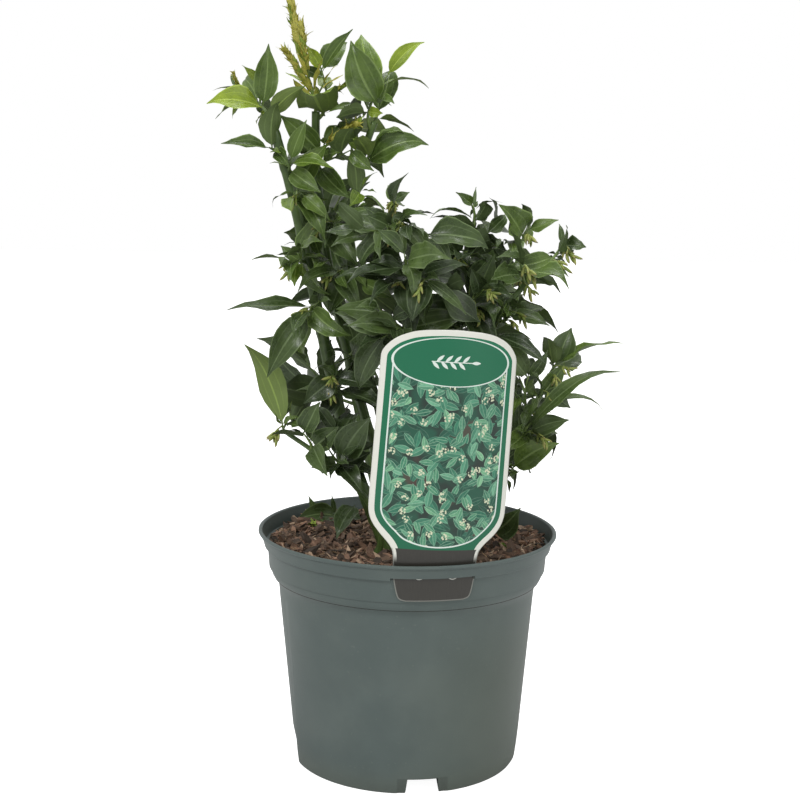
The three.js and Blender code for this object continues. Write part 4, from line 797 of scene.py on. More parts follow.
# Each mass grows from one stem, off a cane at a share of its length, towards a tip in millimetres. Then come
# its count of leaves and their length, its seed and that of its finer twigs, the mix that its leaves' tones
# are dealt from, and its own settings. buds are the shares of its stem that carry a bud cluster, and shoots
# are young shoots, each a share of the stem and a tip. Last come its leads, the leaves that reach a stated
# tip: the share of the stem, the tip, the roll from face up to facing the viewer, the width over the
# length, and the arch in degrees.
massTable = {
    "main_cane": [
        ("left_crown", 1, (-109, 2, 425), 4, 22, 3775, 1377, "crown",
         {"bare": 0.5, "spread": (60, 20), "shoots": [(0.95, (-111.3, -8, 433.4))]},
         [(0.4, (-90, -12, 452), 88, 0.4, 8), (0.35, (-126, -22, 417), 45, 0.42, 25),
          (0.68, (-125, -4, 425), 5, 0.3, 50), (0.06, (-67, -18, 427), -60, 0.36, 20),
          (0.98, (-116, 12, 436), 82, 0.25), (0.55, (-110, 22, 435), 92, 0.3)]),
        ("left_upper", 0.93, (-89, -14, 390), 4, 26, 2457, 1452, "upper", {"bare": 0.3, "open": True},
         [(0.9, (-117, -26, 392), 40, 0.38, 16)]),
        ("left_inner", 0.88, (-76, -16, 383), 4, 28, 4119, 1167, "upper", {"open": True},
         [(0.9, (-66, -18, 407), 85, 0.36, 10)]),
        ("left_mid", 0.83, (-68, -20, 362), 5, 34, 24580, 1476, "upper", {"buds": (0.8,), "open": True},
         [(0.2, (-89, -16, 356), 12, 0.25, 55), (0.95, (-51, -30, 348), 75, 0.42, 12)]),
        ("left_waist", 0.68, (-74, -22, 321), 5, 32, 48493, 57, "upper",
         {"twigs": 1, "buds": (0.5, 0.9), "open": True},
         [(0.95, (-102, -26, 321), 6, 0.2, 35), (0.3, (-82, -12, 331), 70, 0.42),
          (0.6, (-72, -28, 307), 70, 0.5)]),
        ("left_reach", 0.58, (-63, -26, 291), 3, 34, 10641, 174, "half",
         {"buds": (0.3, 0.95), "open": True},
         [(0.3, (-113, -30, 294), 28, 0.2, 12), (0.95, (-88, -36, 251), 88, 0.37, 10)]),
        ("left_low", 0.38, (-47, -18, 250), 5, 32, 17308, 969, "shade", {"buds": (0.6, 1), "open": True},
         [(0.95, (-66, -26, 234), 80, 0.6), (0.98, (-21, -24, 246), 60, 0.45),
          (0.1, (-21, -22, 232), 15, 0.25, 25), (0.15, (-56, -20, 221), 75, 0.55)]),
    ],
    "low_left_cane": [
        ("low_left_tip", 1, (-79, -28, 221), 2, 16, 4779, 150, "upper",
         {"bare": 0.5, "buds": (0.4, 0.85)}, [(0.5, (-102, -30, 272), -40, 0.27, 70)]),
        ("low_left_mid", 0.8, (-66, -34, 217), 4, 28, 57903, 960, "low", {"open": True},
         [(0.95, (-56, -38, 237), 55, 0.6, 20), (0.5, (-60, -22, 227), 88, 0.4),
          (0.1, (-44, -40, 222), 80, 0.62)]),
        ("low_front_left", 0.62, (-42, -40, 202), 5, 30, 230, 462, "shade", {"twigs": 1},
         [(0.9, (-24, -44, 229), 85, 0.58), (0.52, (-24, -42, 207), 80, 0.6),
          (0.3, (-60, -46, 197), 50, 0.6)]),
    ],
    "centre_cane": [
        ("inner_left_low", 0.45, (-34, -8, 256), 6, 34, 3348, 966, "shade", {"twigs": 1},
         [(0.95, (-52, -16, 267), 12, 0.25, 50)]),
        ("young_spike", 1, (-69, 4, 440), 5, 20, 403, 441, "young",
         {"bare": 0.3, "wide": 0.18, "spread": (16, 6), "feathered": True,
          "shoots": [(0.35, (-77.8, -2, 445.4))]},
         [(0.98, (-78, 4, 479), 88, 0.15, 8), (0.8, (-70, -4, 459), 80, 0.16, 6)]),
        ("centre_crown", 0.98, (-60, 4, 442), 5, 26, 14079, 1182, "crown",
         {"bare": 0.3, "open": True, "shoots": [(0.55, (-40, -2, 430.3))]},
         [(0.16, (-61, -30, 423), 0, 0.62, 30), (0.93, (-68, 6, 453), 88, 0.45),
          (0.9, (-39, -6, 462), 50, 0.24, 25), (0.93, (-43, 16, 458), 70, 0.5),
          (0.25, (-35, 14, 419), 20, 0.3)]),
        ("centre_upper", 0.88, (-56, -4, 393), 5, 30, 1817, 1275, "upper",
         {"twigs": 1, "open": True, "shoots": [(0.85, (-38.5, -20, 402.7))]},
         [(0.06, (-39, -14, 360), 82, 0.4, 12), (0.6, (-47, -10, 388), 85, 0.62),
          (0.98, (-45, 2, 406), 60, 0.5)]),
        ("centre_mid", 0.74, (-49, -14, 346), 6, 34, 5612, 48, "half",
         {"twigs": 1, "buds": (0.9,), "open": True}, [(0.95, (-25, -22, 355), 30, 0.3)]),
        ("centre_waist", 0.63, (-44, -18, 316), 7, 34, 2811, 1275, "half", {"twigs": 2, "buds": (1,)},
         [(0.97, (-70, -38, 307), 35, 0.36, 30)]),
    ],
    "right_cane": [
        ("right_crown", 1, (-23, -6, 418), 4, 30, 2339, 1041, "upper", {"bare": 0.2, "open": True},
         [(0.9, (-40, -12, 455), 85, 0.52)]),
        ("right_crown_tip", 0.98, (-17, -2, 436), 4, 26, 24729, 1182, "crown",
         {"bare": 0.4, "open": True},
         [(0.98, (4, -6, 457), 65, 0.3, 25), (0.8, (9, 6, 430), 8, 0.18, 60),
          (0.42, (-20, -10, 412), 80, 0.6), (0.7, (-35, 16, 463), 80, 0.4)]),
        ("right_crown_inner", 0.93, (-34, 10, 431), 5, 30, 576, 375, "upper", {"open": True},
         [(0.5, (-46, 4, 412), 50, 0.5), (0.06, (-44, -10, 397), 75, 0.45)]),
        ("right_upper", 0.9, (-24, -8, 396), 4, 28, 4392, 162, "upper", {"open": True},
         [(0.23, (8, -14, 397), 60, 0.42, 35), (0.95, (-6, -12, 402), 20, 0.3, 60)]),
        ("right_upper_inner", 0.82, (-33, -10, 365), 4, 26, 2125, 360, "upper", {"open": True},
         [(0.9, (-39, -20, 356), 80, 0.62), (0.5, (-17, -16, 348), 15, 0.22, 80)]),
        ("right_mid", 0.75, (-23, -22, 339), 6, 34, 26996, 984, "low", {"twigs": 1, "buds": (0.9,)},
         [(0.97, (-49, -38, 334), 55, 0.38, 20)]),
    ],
    "middle_cane": [
        ("middle_crown", 1, (-12, -34, 360), 3, 16, 13149, 1032, "half",
         {"buds": (0.8, 1), "open": True},
         [(0.9, (-3, -36, 365), 70, 0.55), (0.6, (-16, -26, 369), 70, 0.45)]),
        ("middle_left", 0.93, (-15, -44, 345), 6, 32, 3082, 855, "low", {"twigs": 1, "buds": (0.9,)},
         [(0.9, (-28, -48, 351), 80, 0.7), (0.4, (-2, -54, 333), 80, 0.55)]),
        ("middle_right", 0.96, (-7, -36, 347), 5, 34, 513, 702, "low", {"twigs": 1, "buds": (0.9,)},
         [(0.3, (16, -32, 351), 20, 0.2, 45)]),
        ("middle_low", 0.8, (7, -52, 314), 8, 34, 753, 510, "shade", {"twigs": 2, "buds": (0.1, 0.6, 1)},
         [(0.15, (-46, -44, 317), 40, 0.22, 20), (0.5, (-26, -66, 303), 20, 0.3),
          (0.97, (0, -66, 290), 88, 0.5), (0.98, (32, -62, 295), 65, 0.22)]),
        ("front_left", 0.66, (-9, -54, 284), 8, 34, 2665, 282, "shade", {"twigs": 2},
         [(0.9, (-24, -60, 291), 30, 0.3)]),
    ],
    "dome_rear_cane": [
        ("dome_top", 1, (38, 16, 357), 3, 16, 21139, 924, "pale", {"bare": 0.4, "open": True},
         [(0.95, (27, 10, 365), 60, 0.4, 20), (0.82, (40, 26, 368), 88, 0.16),
          (0.7, (56, 8, 359), 20, 0.22, 60), (0.1, (10, 2, 353), 15, 0.2, 45)]),
        ("dome_top_left", 0.88, (25, -6, 327), 5, 32, 353, 1182, "shade", {"twigs": 1, "buds": (0.9,)},
         [(0.95, (-1, -24, 332), 55, 0.5, 30), (0.77, (9, -20, 310), 85, 0.6),
          (0.52, (17, -10, 345), 88, 0.6)]),
        ("dome_centre", 0.9, (47, 4, 340), 6, 32, 54696, 96, "low", {"twigs": 1}, []),
        ("dome_front", 0.68, (43, -36, 307), 7, 34, 38795, 366, "low", {"twigs": 2, "buds": (0.75, 1)},
         [(0.95, (60, -44, 304), 60, 0.5), (0.9, (35, -42, 320), 75, 0.5)]),
    ],
    "dome_cane": [
        ("dome_end", 1, (93, -6, 335), 4, 20, 7131, 1116, "half",
         {"bare": 0.3, "buds": (0.2, 0.7, 1), "open": True},
         [(0.95, (91, -4, 347), 80, 0.3), (0.9, (107, -14, 333), 50, 0.6, 30),
          (0.4, (58, -14, 320), 80, 0.42)]),
        ("dome_upper", 0.8, (73, 2, 344), 6, 32, 2228, 1425, "half",
         {"twigs": 1, "buds": (0.6, 0.95), "open": True},
         [(0.98, (90, -4, 350), 62, 0.42, 18), (0.9, (54, -16, 358), 60, 0.6)]),
        ("dome_side", 0.9, (66, -22, 323), 5, 32, 2810, 576, "half",
         {"twigs": 1, "buds": (0.1, 0.6, 1), "open": True}, []),
        ("dome_low", 0.76, (63, -12, 292), 3, 26, 49380, 273, "half", {"buds": (0.5, 1)},
         [(0.7, (85, -22, 284), 55, 0.36, 40)]),
        ("dome_under", 0.7, (51, -26, 279), 4, 32, 3900, 612, "low", {"buds": (1,)},
         [(0.9, (82, -44, 264), 35, 0.32, 25)]),
    ],
    "low_right_cane": [
        ("low_right_tip", 1, (91, -16, 261), 3, 26, 3122, 450, "half",
         {"bare": 0.3, "buds": (0.15, 0.7), "open": True},
         [(0.9, (100, -14, 283), 88, 0.62), (0.87, (127, -44, 279), 30, 0.22, 20),
          (0.6, (110, 4, 267), 60, 0.5)]),
        ("low_right_mid", 0.84, (82, -28, 245), 3, 26, 4360, 1437, "half", {"buds": (1,), "open": True},
         [(0.95, (99, -32, 235), 75, 0.6), (0.1, (121, -28, 238), 8, 0.14, 35)]),
        ("low_right_inner", 0.78, (73, -24, 253), 3, 24, 52572, 1215, "half", {},
         [(0.97, (55, -24, 277), 70, 0.5), (0.98, (84, -28, 270), 85, 0.36)]),
        ("low_right_low", 0.66, (75, -30, 220), 3, 26, 34414, 783, "half", {"buds": (0.9,)},
         [(0.9, (98, -34, 228), 75, 0.5), (0.62, (120, -54, 267), 37, 0.14, 31),
          (0.25, (67, -24, 238), 88, 0.42)]),
        ("low_right_foot", 0.5, (65, -26, 195), 3, 24, 3007, 1365, "half", {},
         [(0.95, (91, -36, 214), 65, 0.5, 16), (0.9, (66, -24, 187), 60, 0.4)]),
    ],
    "back_left_cane": [
        ("back_left_crown", 1, (-60, 70, 356), 9, 40, 3720, 483, "half", {"twigs": 2, "buds": (0.5, 1)}, []),
        ("back_left_low", 0.5, (-72, 62, 232), 8, 42, 3814, 1206, "low", {"twigs": 2, "buds": (0.8,)}, []),
        ("back_left_mid", 0.8, (-30, 88, 290), 9, 42, 11849, 285, "low", {"twigs": 2, "buds": (0.9,)}, []),
    ],
    "back_right_cane": [
        ("back_right_crown", 1, (68, 66, 312), 9, 40, 31091, 270, "half", {"twigs": 2, "buds": (0.5, 1)}, []),
        ("back_right_mid", 0.7, (26, 92, 262), 8, 42, 3732, 573, "low", {"twigs": 2, "buds": (0.9,)}, []),
        ("back_right_low", 0.5, (82, 46, 222), 8, 42, 1863, 1200, "low", {"twigs": 2, "buds": (0.9,)}, []),
    ],
}


def readMasses():
    made = {}
    for cane, rows in massTable.items():
        for name, at, tip, leaves, leaf, seed, fine, mixName, own, leads in rows:
            made[name] = {
                "on": cane, "at": at, "tip": metres(tip), "leaves": leaves, "leaf": leaf / 1000, "seed": seed,
                "fine": fine, "mix": mixName, **own,
                "shoots": [(share, metres(end)) for share, end in own.get("shoots", [])],
                "leads": [(share, metres(end), *shape) for share, end, *shape in leads],
            }
    return made


masses = readMasses()

# Shares of a leaf's length and width
leafForm = {
    "wide": 0.42,
    "stops": [(0.0, 0.0), (0.1, 0.0), (0.36, 1.0), (0.68, 0.66), (1.0, 0.0)],
    "stalkWidth": 0.0014,
    "fold": 0.22,
    "parts": (-1.0, -0.5, 0.0, 0.5, 1.0),
    "outline": [
        (0.0, 0.05), (0.09, 0.09), (0.14, 0.46), (0.22, 0.8), (0.32, 0.97), (0.44, 1.0),
        (0.56, 0.93), (0.68, 0.76), (0.79, 0.5), (0.89, 0.21), (1.0, 0.015),
    ],
}
shootForm = {"radius": 0.0011, "taper": 0.55, "leafSpread": (72, 30), "bare": 0.25}
twigForm = {"radius": 0.00075, "taper": 0.5, "leaves": 3, "bare": 0.45}
goldenTurn = 137.5 * degree
skyward = np.array([0.0, 0.0, 1.0])
clearGap = 0.0003
growth = {
    "blade": 0.0019,
    "wood": 0.0015,
    "viewerSide": -0.08,
    "labelTop": 0.3,
    "overSoil": 0.0025,
    "overRim": 0.005,
    "rimReach": 0.084,
    "edgeRoom": 0.0008,
    "woodStep": 0.003,
    "ownRoot": 0.007,
}
fineGrowth = {**growth, "blade": 0.0008, "wood": 0.0009}
fineForm = {"leaves": 4, "twigs": 3, "leafShare": 0.84, "bare": 0.1}
openForm = {"leaves": 2, "twigs": 1, "leafShare": 0.5, "bare": 0.4}


def seededRandom(seed):
    state = seed * 7919 + 17

    def advance():
        nonlocal state
        state = state * 48271 % 2147483647
        return state / 2147483647

    advance()
    advance()
    return advance


def unit(vector):
    return vector / np.linalg.norm(vector)


def caneRadius(cane, share):
    return cane["foot"] + (cane["tip"] - cane["foot"]) * share


def bezier(points, share):
    share = np.asarray(share, float)[..., None]
    points = [np.asarray(place, float) for place in points]
    if len(points) == 4:
        weights = ((1 - share) ** 3, 3 * (1 - share) ** 2 * share, 3 * (1 - share) * share ** 2, share ** 3)
    else:
        weights = ((1 - share) ** 2, 2 * (1 - share) * share, share ** 2)
    return sum(weight * place for weight, place in zip(weights, points))


def tangent(points, share):
    low, high = max(0.0, share - 0.0001), min(1.0, share + 0.0001)
    return unit(bezier(points, high) - bezier(points, low))


def curveLength(points):
    places = bezier(points, np.linspace(0, 1, 201))
    return float(np.linalg.norm(np.diff(places, axis=0), axis=1).sum())


def bladeHalfWidth(leaf, share):
    stalk = leafForm["stalkWidth"] / 2
    stations, parts = zip(*leafForm["stops"])
    widths = [stalk, stalk] + [part * leaf["width"] / 2 for part in parts[2:]]
    return np.interp(share, stations, widths)


def bladePoint(leaf, share, across):
    radius = leaf["length"] / leaf["curl"]
    angle = np.asarray(share, float) * leaf["curl"]
    across = np.asarray(across, float)
    height = leafForm["fold"] * np.abs(across)
    run = np.sin(angle) * (radius + height)
    rise = np.cos(angle) * (radius + height) - radius
    return (leaf["root"] + run[..., None] * leaf["direction"] + rise[..., None] * leaf["face"]
            + across[..., None] * leaf["side"])


def insideBlade(places, leaf, margin):
    offset = places - leaf["root"]
    radius = leaf["length"] / leaf["curl"]
    x = offset @ leaf["direction"]
    z = offset @ leaf["face"] + radius
    across = np.abs(offset @ leaf["side"])
    share = np.arctan2(x, z) / leaf["curl"]
    height = np.abs(np.hypot(x, z) - radius - leafForm["fold"] * across)
    reach = bladeHalfWidth(leaf, np.minimum(share, 1)) + growth["edgeRoom"]
    near = (offset ** 2).sum(-1) <= (leaf["length"] + margin + 0.002) ** 2
    return near & (share >= 0) & (share <= 1.03) & (height < margin) & (across < reach)


def bladeSamples(leaf):
    share = np.repeat(np.arange(2, 16) / 15, 5)
    part = np.tile([-1, -0.5, 0, 0.5, 1], 14)
    return bladePoint(leaf, share, part * bladeHalfWidth(leaf, share))


def outwardAt(place):
    outward = np.array([place[0], place[1], 0.0])
    return unit(outward) if outward @ outward >= 1e-6 else np.array([1.0, 0.0, 0.0])


def headingFrom(along, place, turn, spread):
    lead = skyward if abs(along[2]) < 0.9 else outwardAt(place)
    first = unit(lead - (lead @ along) * along)
    second = np.cross(along, first)
    return (math.cos(spread) * along + math.sin(spread) * math.cos(turn) * first
            + math.sin(spread) * math.sin(turn) * second)


def leafOf(root, direction, face, curl, length, width):
    return {
        "root": root, "direction": direction, "face": face, "side": np.cross(face, direction),
        "curl": curl, "length": length, "width": width,
    }


def makeLeaf(place, along, turn, spread, length, wide, random):
    direction = headingFrom(along, place, turn, spread)
    direction[2] -= 0.3 * random()
    direction = unit(direction)
    face = np.array([0.0, 0.0, 0.55]) + 0.55 * outwardAt(place) + 0.25 * along
    face[0] += (random() - 0.5) * 1.2
    face[1] += (random() - 0.5) * 1.2
    face = unit(face - (face @ direction) * direction)
    curl = (6 + 44 * random() ** 1.5) * degree
    width = length * wide * (0.85 + 0.3 * random())
    return leafOf(np.array(place), direction, face, curl, length, width)


def reachingLeaf(root, tip, roll, wide, arch=14):
    root = np.array(root)
    chord = np.array(tip) - root
    toward = unit(chord)
    half = arch * degree / 2
    turn = roll * degree
    face = np.array([0.0, -math.sin(turn), math.cos(turn)])
    face = unit(face - (face @ toward) * toward)
    direction = toward * math.cos(half) + face * math.sin(half)
    face = face * math.cos(half) - toward * math.sin(half)
    length = float(np.linalg.norm(chord)) * half / math.sin(half)
    return leafOf(root, direction, face, 2 * half, length, length * wide)


def shootRadius(share):
    return shootForm["radius"] * (1 - shootForm["taper"] * share)


def twigRadius(share):
    return twigForm["radius"] * (1 - twigForm["taper"] * share)


def shootCurve(mass):
    cane = canes[mass["on"]]
    place = bezier(cane["path"], mass["at"])
    along = tangent(cane["path"], mass["at"])
    tip = np.array(mass["tip"])
    reach = np.linalg.norm(tip - place)
    heading = along
    base = place + along * clearGap
    if mass["at"] < 1:
        out = tip - place
        out = unit(out - (out @ along) * along)
        heading = unit(0.6 * along + 0.8 * out)
        base = place + out * (caneRadius(cane, mass["at"]) + clearGap + shootForm["radius"] * 0.6)
    return [base, base + heading * reach * 0.35, tip]


# What has grown so far, in arrays that the clearance tests read at once
grownWood = {"place": np.zeros((0, 3)), "radius": np.zeros(0), "owner": np.zeros(0, int)}
grownLeaves = []
leafMiddles = np.zeros((4000, 3))
leafLengths = np.zeros(4000)


def addWood(points, radiusAt, owner):
    count = max(2, math.ceil(curveLength(points) / growth["woodStep"]))
    share = np.arange(count + 1) / count
    grownWood["place"] = np.concatenate([grownWood["place"], bezier(points, share)])
    grownWood["radius"] = np.concatenate([grownWood["radius"], radiusAt(share)])
    grownWood["owner"] = np.concatenate([grownWood["owner"], np.full(count + 1, owner)])


def addLeaf(leaf):
    leaf["samples"] = bladeSamples(leaf)
    leaf["middle"] = bladePoint(leaf, 0.5, 0.0)
    leafMiddles[len(grownLeaves)] = leaf["middle"]
    leafLengths[len(grownLeaves)] = leaf["length"]
    grownLeaves.append(leaf)


def withinBounds(places, room):
    radius = np.hypot(places[..., 0], places[..., 1])
    behindLabel = (places[..., 1] >= room["viewerSide"]) | (places[..., 2] >= room["labelTop"])
    overRim = places[..., 2] > pot["rimTop"] + room["overRim"]
    overSoil = places[..., 2] > mix["top"] + room["overSoil"]
    return behindLabel & np.where(radius > room["rimReach"], overRim, overSoil)


def leafIsClear(leaf, owner, room):
    samples = bladeSamples(leaf)
    if not withinBounds(samples, room).all():
        return False
    middle = bladePoint(leaf, 0.5, 0.0)
    places, radii = grownWood["place"], grownWood["radius"]
    near = ((places - middle) ** 2).sum(1) <= (leaf["length"] * 0.62 + 0.006) ** 2
    atRoot = ((places - leaf["root"]) ** 2).sum(1) < growth["ownRoot"] ** 2
    near &= ~((grownWood["owner"] == owner) & atRoot)
    if insideBlade(places[near], leaf, radii[near] + room["wood"]).any():
        return False
    count = len(grownLeaves)
    span = (leaf["length"] + leafLengths[:count]) * 0.56 + 0.003
    for i in np.nonzero(((leafMiddles[:count] - middle) ** 2).sum(1) <= span ** 2)[0]:
        other = grownLeaves[i]
        if insideBlade(samples, other, room["blade"]).any():
            return False
        if insideBlade(other["samples"], leaf, room["blade"]).any():
            return False
    return True


def placeLeaf(mass, owner, place, along, turn, spread, size, seed, room):
    for attempt in range(5):
        random = seededRandom(seed + attempt * 131)
        length = mass["leaf"] * size * (0.78 + 0.4 * random())
        swing = (random() - 0.5) * (50 + 25 * attempt) * degree
        lean = (random() - 0.5) * 36 * degree
        wide = mass.get("wide", leafForm["wide"])
        leaf = makeLeaf(place, along, turn + swing, spread + lean, length, wide, random)
        if leafIsClear(leaf, owner, room):
            return leaf
    return None


def sideTwig(mass, stem, number, spin, random, owner, room):
    share = 0.3 + 0.45 * (number + random() * 0.5) / mass["twigs"]
    place = bezier(stem, share)
    along = tangent(stem, share)
    spread = (35 + 25 * random()) * degree
    heading = headingFrom(along, place, spin + (number + 0.5) * goldenTurn, spread)
    heading[2] += 0.15
    heading = unit(heading)
    length = mass["leaf"] * (0.45 + 0.35 * random())
    bend = np.array([random() - 0.5, random() - 0.5, random() * 0.6])
    curve = [place, place + heading * length * 0.5, place + heading * length + bend * length * 0.35]
    count = max(2, math.ceil(curveLength(curve) / growth["woodStep"]))
    steps = bezier(curve, np.arange(1, count + 1) / count)
    radii = twigRadius(np.arange(1, count + 1) / count)
    if not withinBounds(steps, room).all():
        return None
    nearEnd = ((leafMiddles[:len(grownLeaves)] - place) ** 2).sum(1) < 0.08 ** 2
    if any(insideBlade(steps, grownLeaves[i], room["wood"] + 0.001).any() for i in np.nonzero(nearEnd)[0]):
        return None
    others = grownWood["owner"] != owner
    gaps = np.linalg.norm(grownWood["place"][others][:, None] - steps[None], axis=2)
    if (gaps < grownWood["radius"][others][:, None] + radii[None] + room["wood"]).any():
        return None
    own = {"leaves": twigForm["leaves"], "bare": twigForm["bare"]}
    return {"curve": curve, "radiusAt": twigRadius, "turn": 2, **own}


def growMass(mass, owner, seed, room):
    random = seededRandom(seed)
    stem = {
        "curve": shootCurve(mass), "radiusAt": shootRadius, "leaves": mass["leaves"],
        "bare": mass.get("bare", shootForm["bare"]), "turn": 0,
    }
    spin = random() * 2 * math.pi
    twigs = [stem]
    for number in range(mass.get("twigs", 0)):
        twig = sideTwig(mass, stem["curve"], number, spin, random, owner, room)
        if twig:
            twigs.append(twig)
    for twig in twigs[1:]:
        addWood(twig["curve"], twig["radiusAt"], owner)
    low, high = mass.get("spread", shootForm["leafSpread"])
    leaves = []
    number = 0
    for twig in twigs:
        for i in range(twig["leaves"]):
            number += 1
            share = i / (twig["leaves"] - 1)
            at = min(twig["bare"] + (1 - twig["bare"]) * share, 0.985)
            place = bezier(twig["curve"], at)
            along = tangent(twig["curve"], at)
            spread = (low + (high - low) * share) * degree
            size = 0.85 + 0.3 * math.sin(math.pi * min(1, share + 0.15)) - 0.15 * share
            turn = spin + i * goldenTurn + twig["turn"]
            leafSeed = seed * 53 + number * 977
            leaf = placeLeaf(mass, owner, place, along, turn, spread, size, leafSeed, room)
            if leaf:
                addLeaf(leaf)
                leaves.append(leaf)
    return twigs, leaves


def growPlant():
    for i, cane in enumerate(canes.values()):
        addWood(cane["path"], lambda share, cane=cane: caneRadius(cane, share), -1 - i)
    for owner, mass in enumerate(masses.values()):
        addWood(shootCurve(mass), shootRadius, owner)
    sprays = [{"name": name, "leaves": []} for name in masses]
    for owner, mass in enumerate(masses.values()):
        stem = shootCurve(mass)
        for share, *shape in mass["leads"]:
            leaf = reachingLeaf(bezier(stem, share), *shape)
            if leafIsClear(leaf, owner, growth):
                addLeaf(leaf)
                sprays[owner]["leaves"].append(leaf)
    allTwigs = []
    for owner, mass in enumerate(masses.values()):
        twigs, leaves = growMass(mass, owner, mass["seed"], growth)
        allTwigs.extend(twigs)
        sprays[owner]["leaves"].extend(leaves)
    coarse = len(grownLeaves)
    for owner, mass in enumerate(masses.values()):
        form = openForm if "open" in mass else fineForm
        finer = {**mass, **form, "leaf": mass["leaf"] * form["leafShare"]}
        twigs, leaves = growMass(finer, owner, mass["fine"], fineGrowth)
        allTwigs.extend(twigs[1:])
        sprays[owner]["leaves"].extend(leaves)
    print("plant grown:", coarse, "leaves by the source's rule,", len(grownLeaves) - coarse, "finer ones")
    return sprays, allTwigs


sprays, allTwigs = growPlant()


# Young shoots: slender leaves packed along a stalk. Low leaves lie on the mix, and weeds grow in it.

# A feather's count of leaves grows with its shaft's length
feather = {
    "spacing": 0.00062, "from": 0.06, "to": 0.96, "length": (0.019, 0.013), "wide": 0.29, "spread": (13, 8),
    "stalk": 0.00055, "longest": 0.42, "lengths": (0.75, 1.15), "leans": (0.5, 1.15), "curl": (4, 22),
}
lowLeaves = [  # each one's root, tip, roll, width over length and arch
    ((-0.047, 0.056, 0.1425), (-0.076, 0.044, 0.1425), 60, 0.4, 55),
    ((-0.034, 0.0, 0.164), (-0.045, -0.024, 0.149), 30, 0.46, 30),
    ((-0.03, 0.052, 0.142), (-0.052, 0.05, 0.146), 45, 0.34, 40),
    ((0.055, -0.004, 0.148), (0.0705, -0.02, 0.168), 78, 0.62, 24),
    ((-0.06, 0.062, 0.143), (-0.068, 0.06, 0.156), 85, 0.3, 12),
    ((-0.05, 0.06, 0.143), (-0.052, 0.058, 0.157), 85, 0.26, 10),
]
weeds = {
    "at": [(-0.064, 0.03), (0.049, 0.008), (0.059, -0.018), (0.03, 0.066)], "leaves": 12, "length": 0.006,
    "lengths": (0.5, 1.2), "leans": (20, 75), "wide": (0.35, 0.6), "reach": 0.003, "curl": 0.6,
}


def featheredShoot(shaft, random):
    leaves = []
    count = max(8, int(curveLength(shaft) / feather["spacing"]))
    for i in range(count):
        part = i / (count - 1)
        share = feather["from"] + (feather["to"] - feather["from"]) * part
        along = tangent(shaft, share)
        longest, shortest = (min(most, feather["longest"] * curveLength(shaft)) for most in feather["length"])
        wideAngle, tightAngle = feather["spread"]
        length = (longest + (shortest - longest) * part) * random.uniform(*feather["lengths"])
        spread = (wideAngle + (tightAngle - wideAngle) * part) * degree * random.uniform(*feather["leans"])
        direction = unit(headingFrom(along, shaft[0], i * goldenTurn, spread))
        inward = along - (along @ direction) * direction
        face = unit(inward + 0.001 * np.cross(direction, along))
        curl = random.uniform(*feather["curl"]) * degree
        leaves.append(leafOf(bezier(shaft, share), direction, face, curl, length, length * feather["wide"]))
    stalk = {"curve": shaft, "radiusAt": lambda share: feather["stalk"] * (1.3 - share)}
    return leaves, stalk


def youngParts():
    random = np.random.default_rng(5)
    shafts = []
    for spray, mass in zip(sprays, masses.values()):
        stem = shootCurve(mass)
        if "feathered" in mass:
            ends = np.array([0.0, 0.5, 1.0])
            leads = spray["leaves"][:len(mass["leads"])]
            shafts.extend(list(bladePoint(leaf, ends, 0 * ends)) for leaf in leads)
            spray["leaves"] = spray["leaves"][len(leads):]
        for share, tip in mass["shoots"]:
            base = bezier(stem, share)
            reach = np.array(tip) - base
            knee = base + reach * 0.5 + 0.12 * np.linalg.norm(reach) * tangent(stem, share)
            shafts.append([base, knee, np.array(tip)])
    leaves, stalks = [], []
    for shaft in shafts:
        some, stalk = featheredShoot(shaft, random)
        leaves.extend(some)
        stalks.append(stalk)
    sprays.append({"name": "young_shoots", "mix": "young", "leaves": leaves})
    ground = [reachingLeaf(*one) for one in lowLeaves]
    sprays.append({"name": "low_leaves", "mix": "low", "leaves": ground})
    tufts = []
    for x, y in weeds["at"]:
        root = np.array([x, y, float(soilHeight(x, y))])
        for i in range(weeds["leaves"]):
            length = weeds["length"] * random.uniform(*weeds["lengths"])
            spread = random.uniform(*weeds["leans"]) * degree
            start = root + np.array([*random.uniform(-weeds["reach"], weeds["reach"], 2), 0.0])
            direction = unit(headingFrom(skyward, root, i * goldenTurn, spread))
            face = unit(skyward - direction[2] * direction)
            width = length * random.uniform(*weeds["wide"])
            tufts.append(leafOf(start, direction, face, weeds["curl"], length, width))
    sprays.append({"name": "weeds", "mix": "weeds", "leaves": tufts})
    return stalks


youngStalks = youngParts()
print("young shoots, low leaves and weeds:", [len(spray["leaves"]) for spray in sprays[-3:]])


# Stems: ringed tubes with ribs, leaf scars and a flare at the foot

def alongPath(points, count):
    places = bezier(points, np.linspace(0, 1, count))
    ahead = np.gradient(places, axis=0)
    ahead /= np.linalg.norm(ahead, axis=1, keepdims=True)
    first = np.zeros_like(places)
    first[0] = unit(np.cross(ahead[0], [0.31, 0.87, 0.2]))
    for i in range(1, count):
        first[i] = unit(first[i - 1] - (first[i - 1] @ ahead[i]) * ahead[i])
    return places, first, np.cross(ahead, first)


def tubePlaces(points, radii, sides):  # radii is rings by sides
    places, first, second = alongPath(points, len(radii))
    turn = np.linspace(0, 2 * math.pi, sides, endpoint=False)
    ring = np.cos(turn)[None, :, None] * first[:, None] + np.sin(turn)[None, :, None] * second[:, None]
    return places[:, None] + ring * radii[..., None]


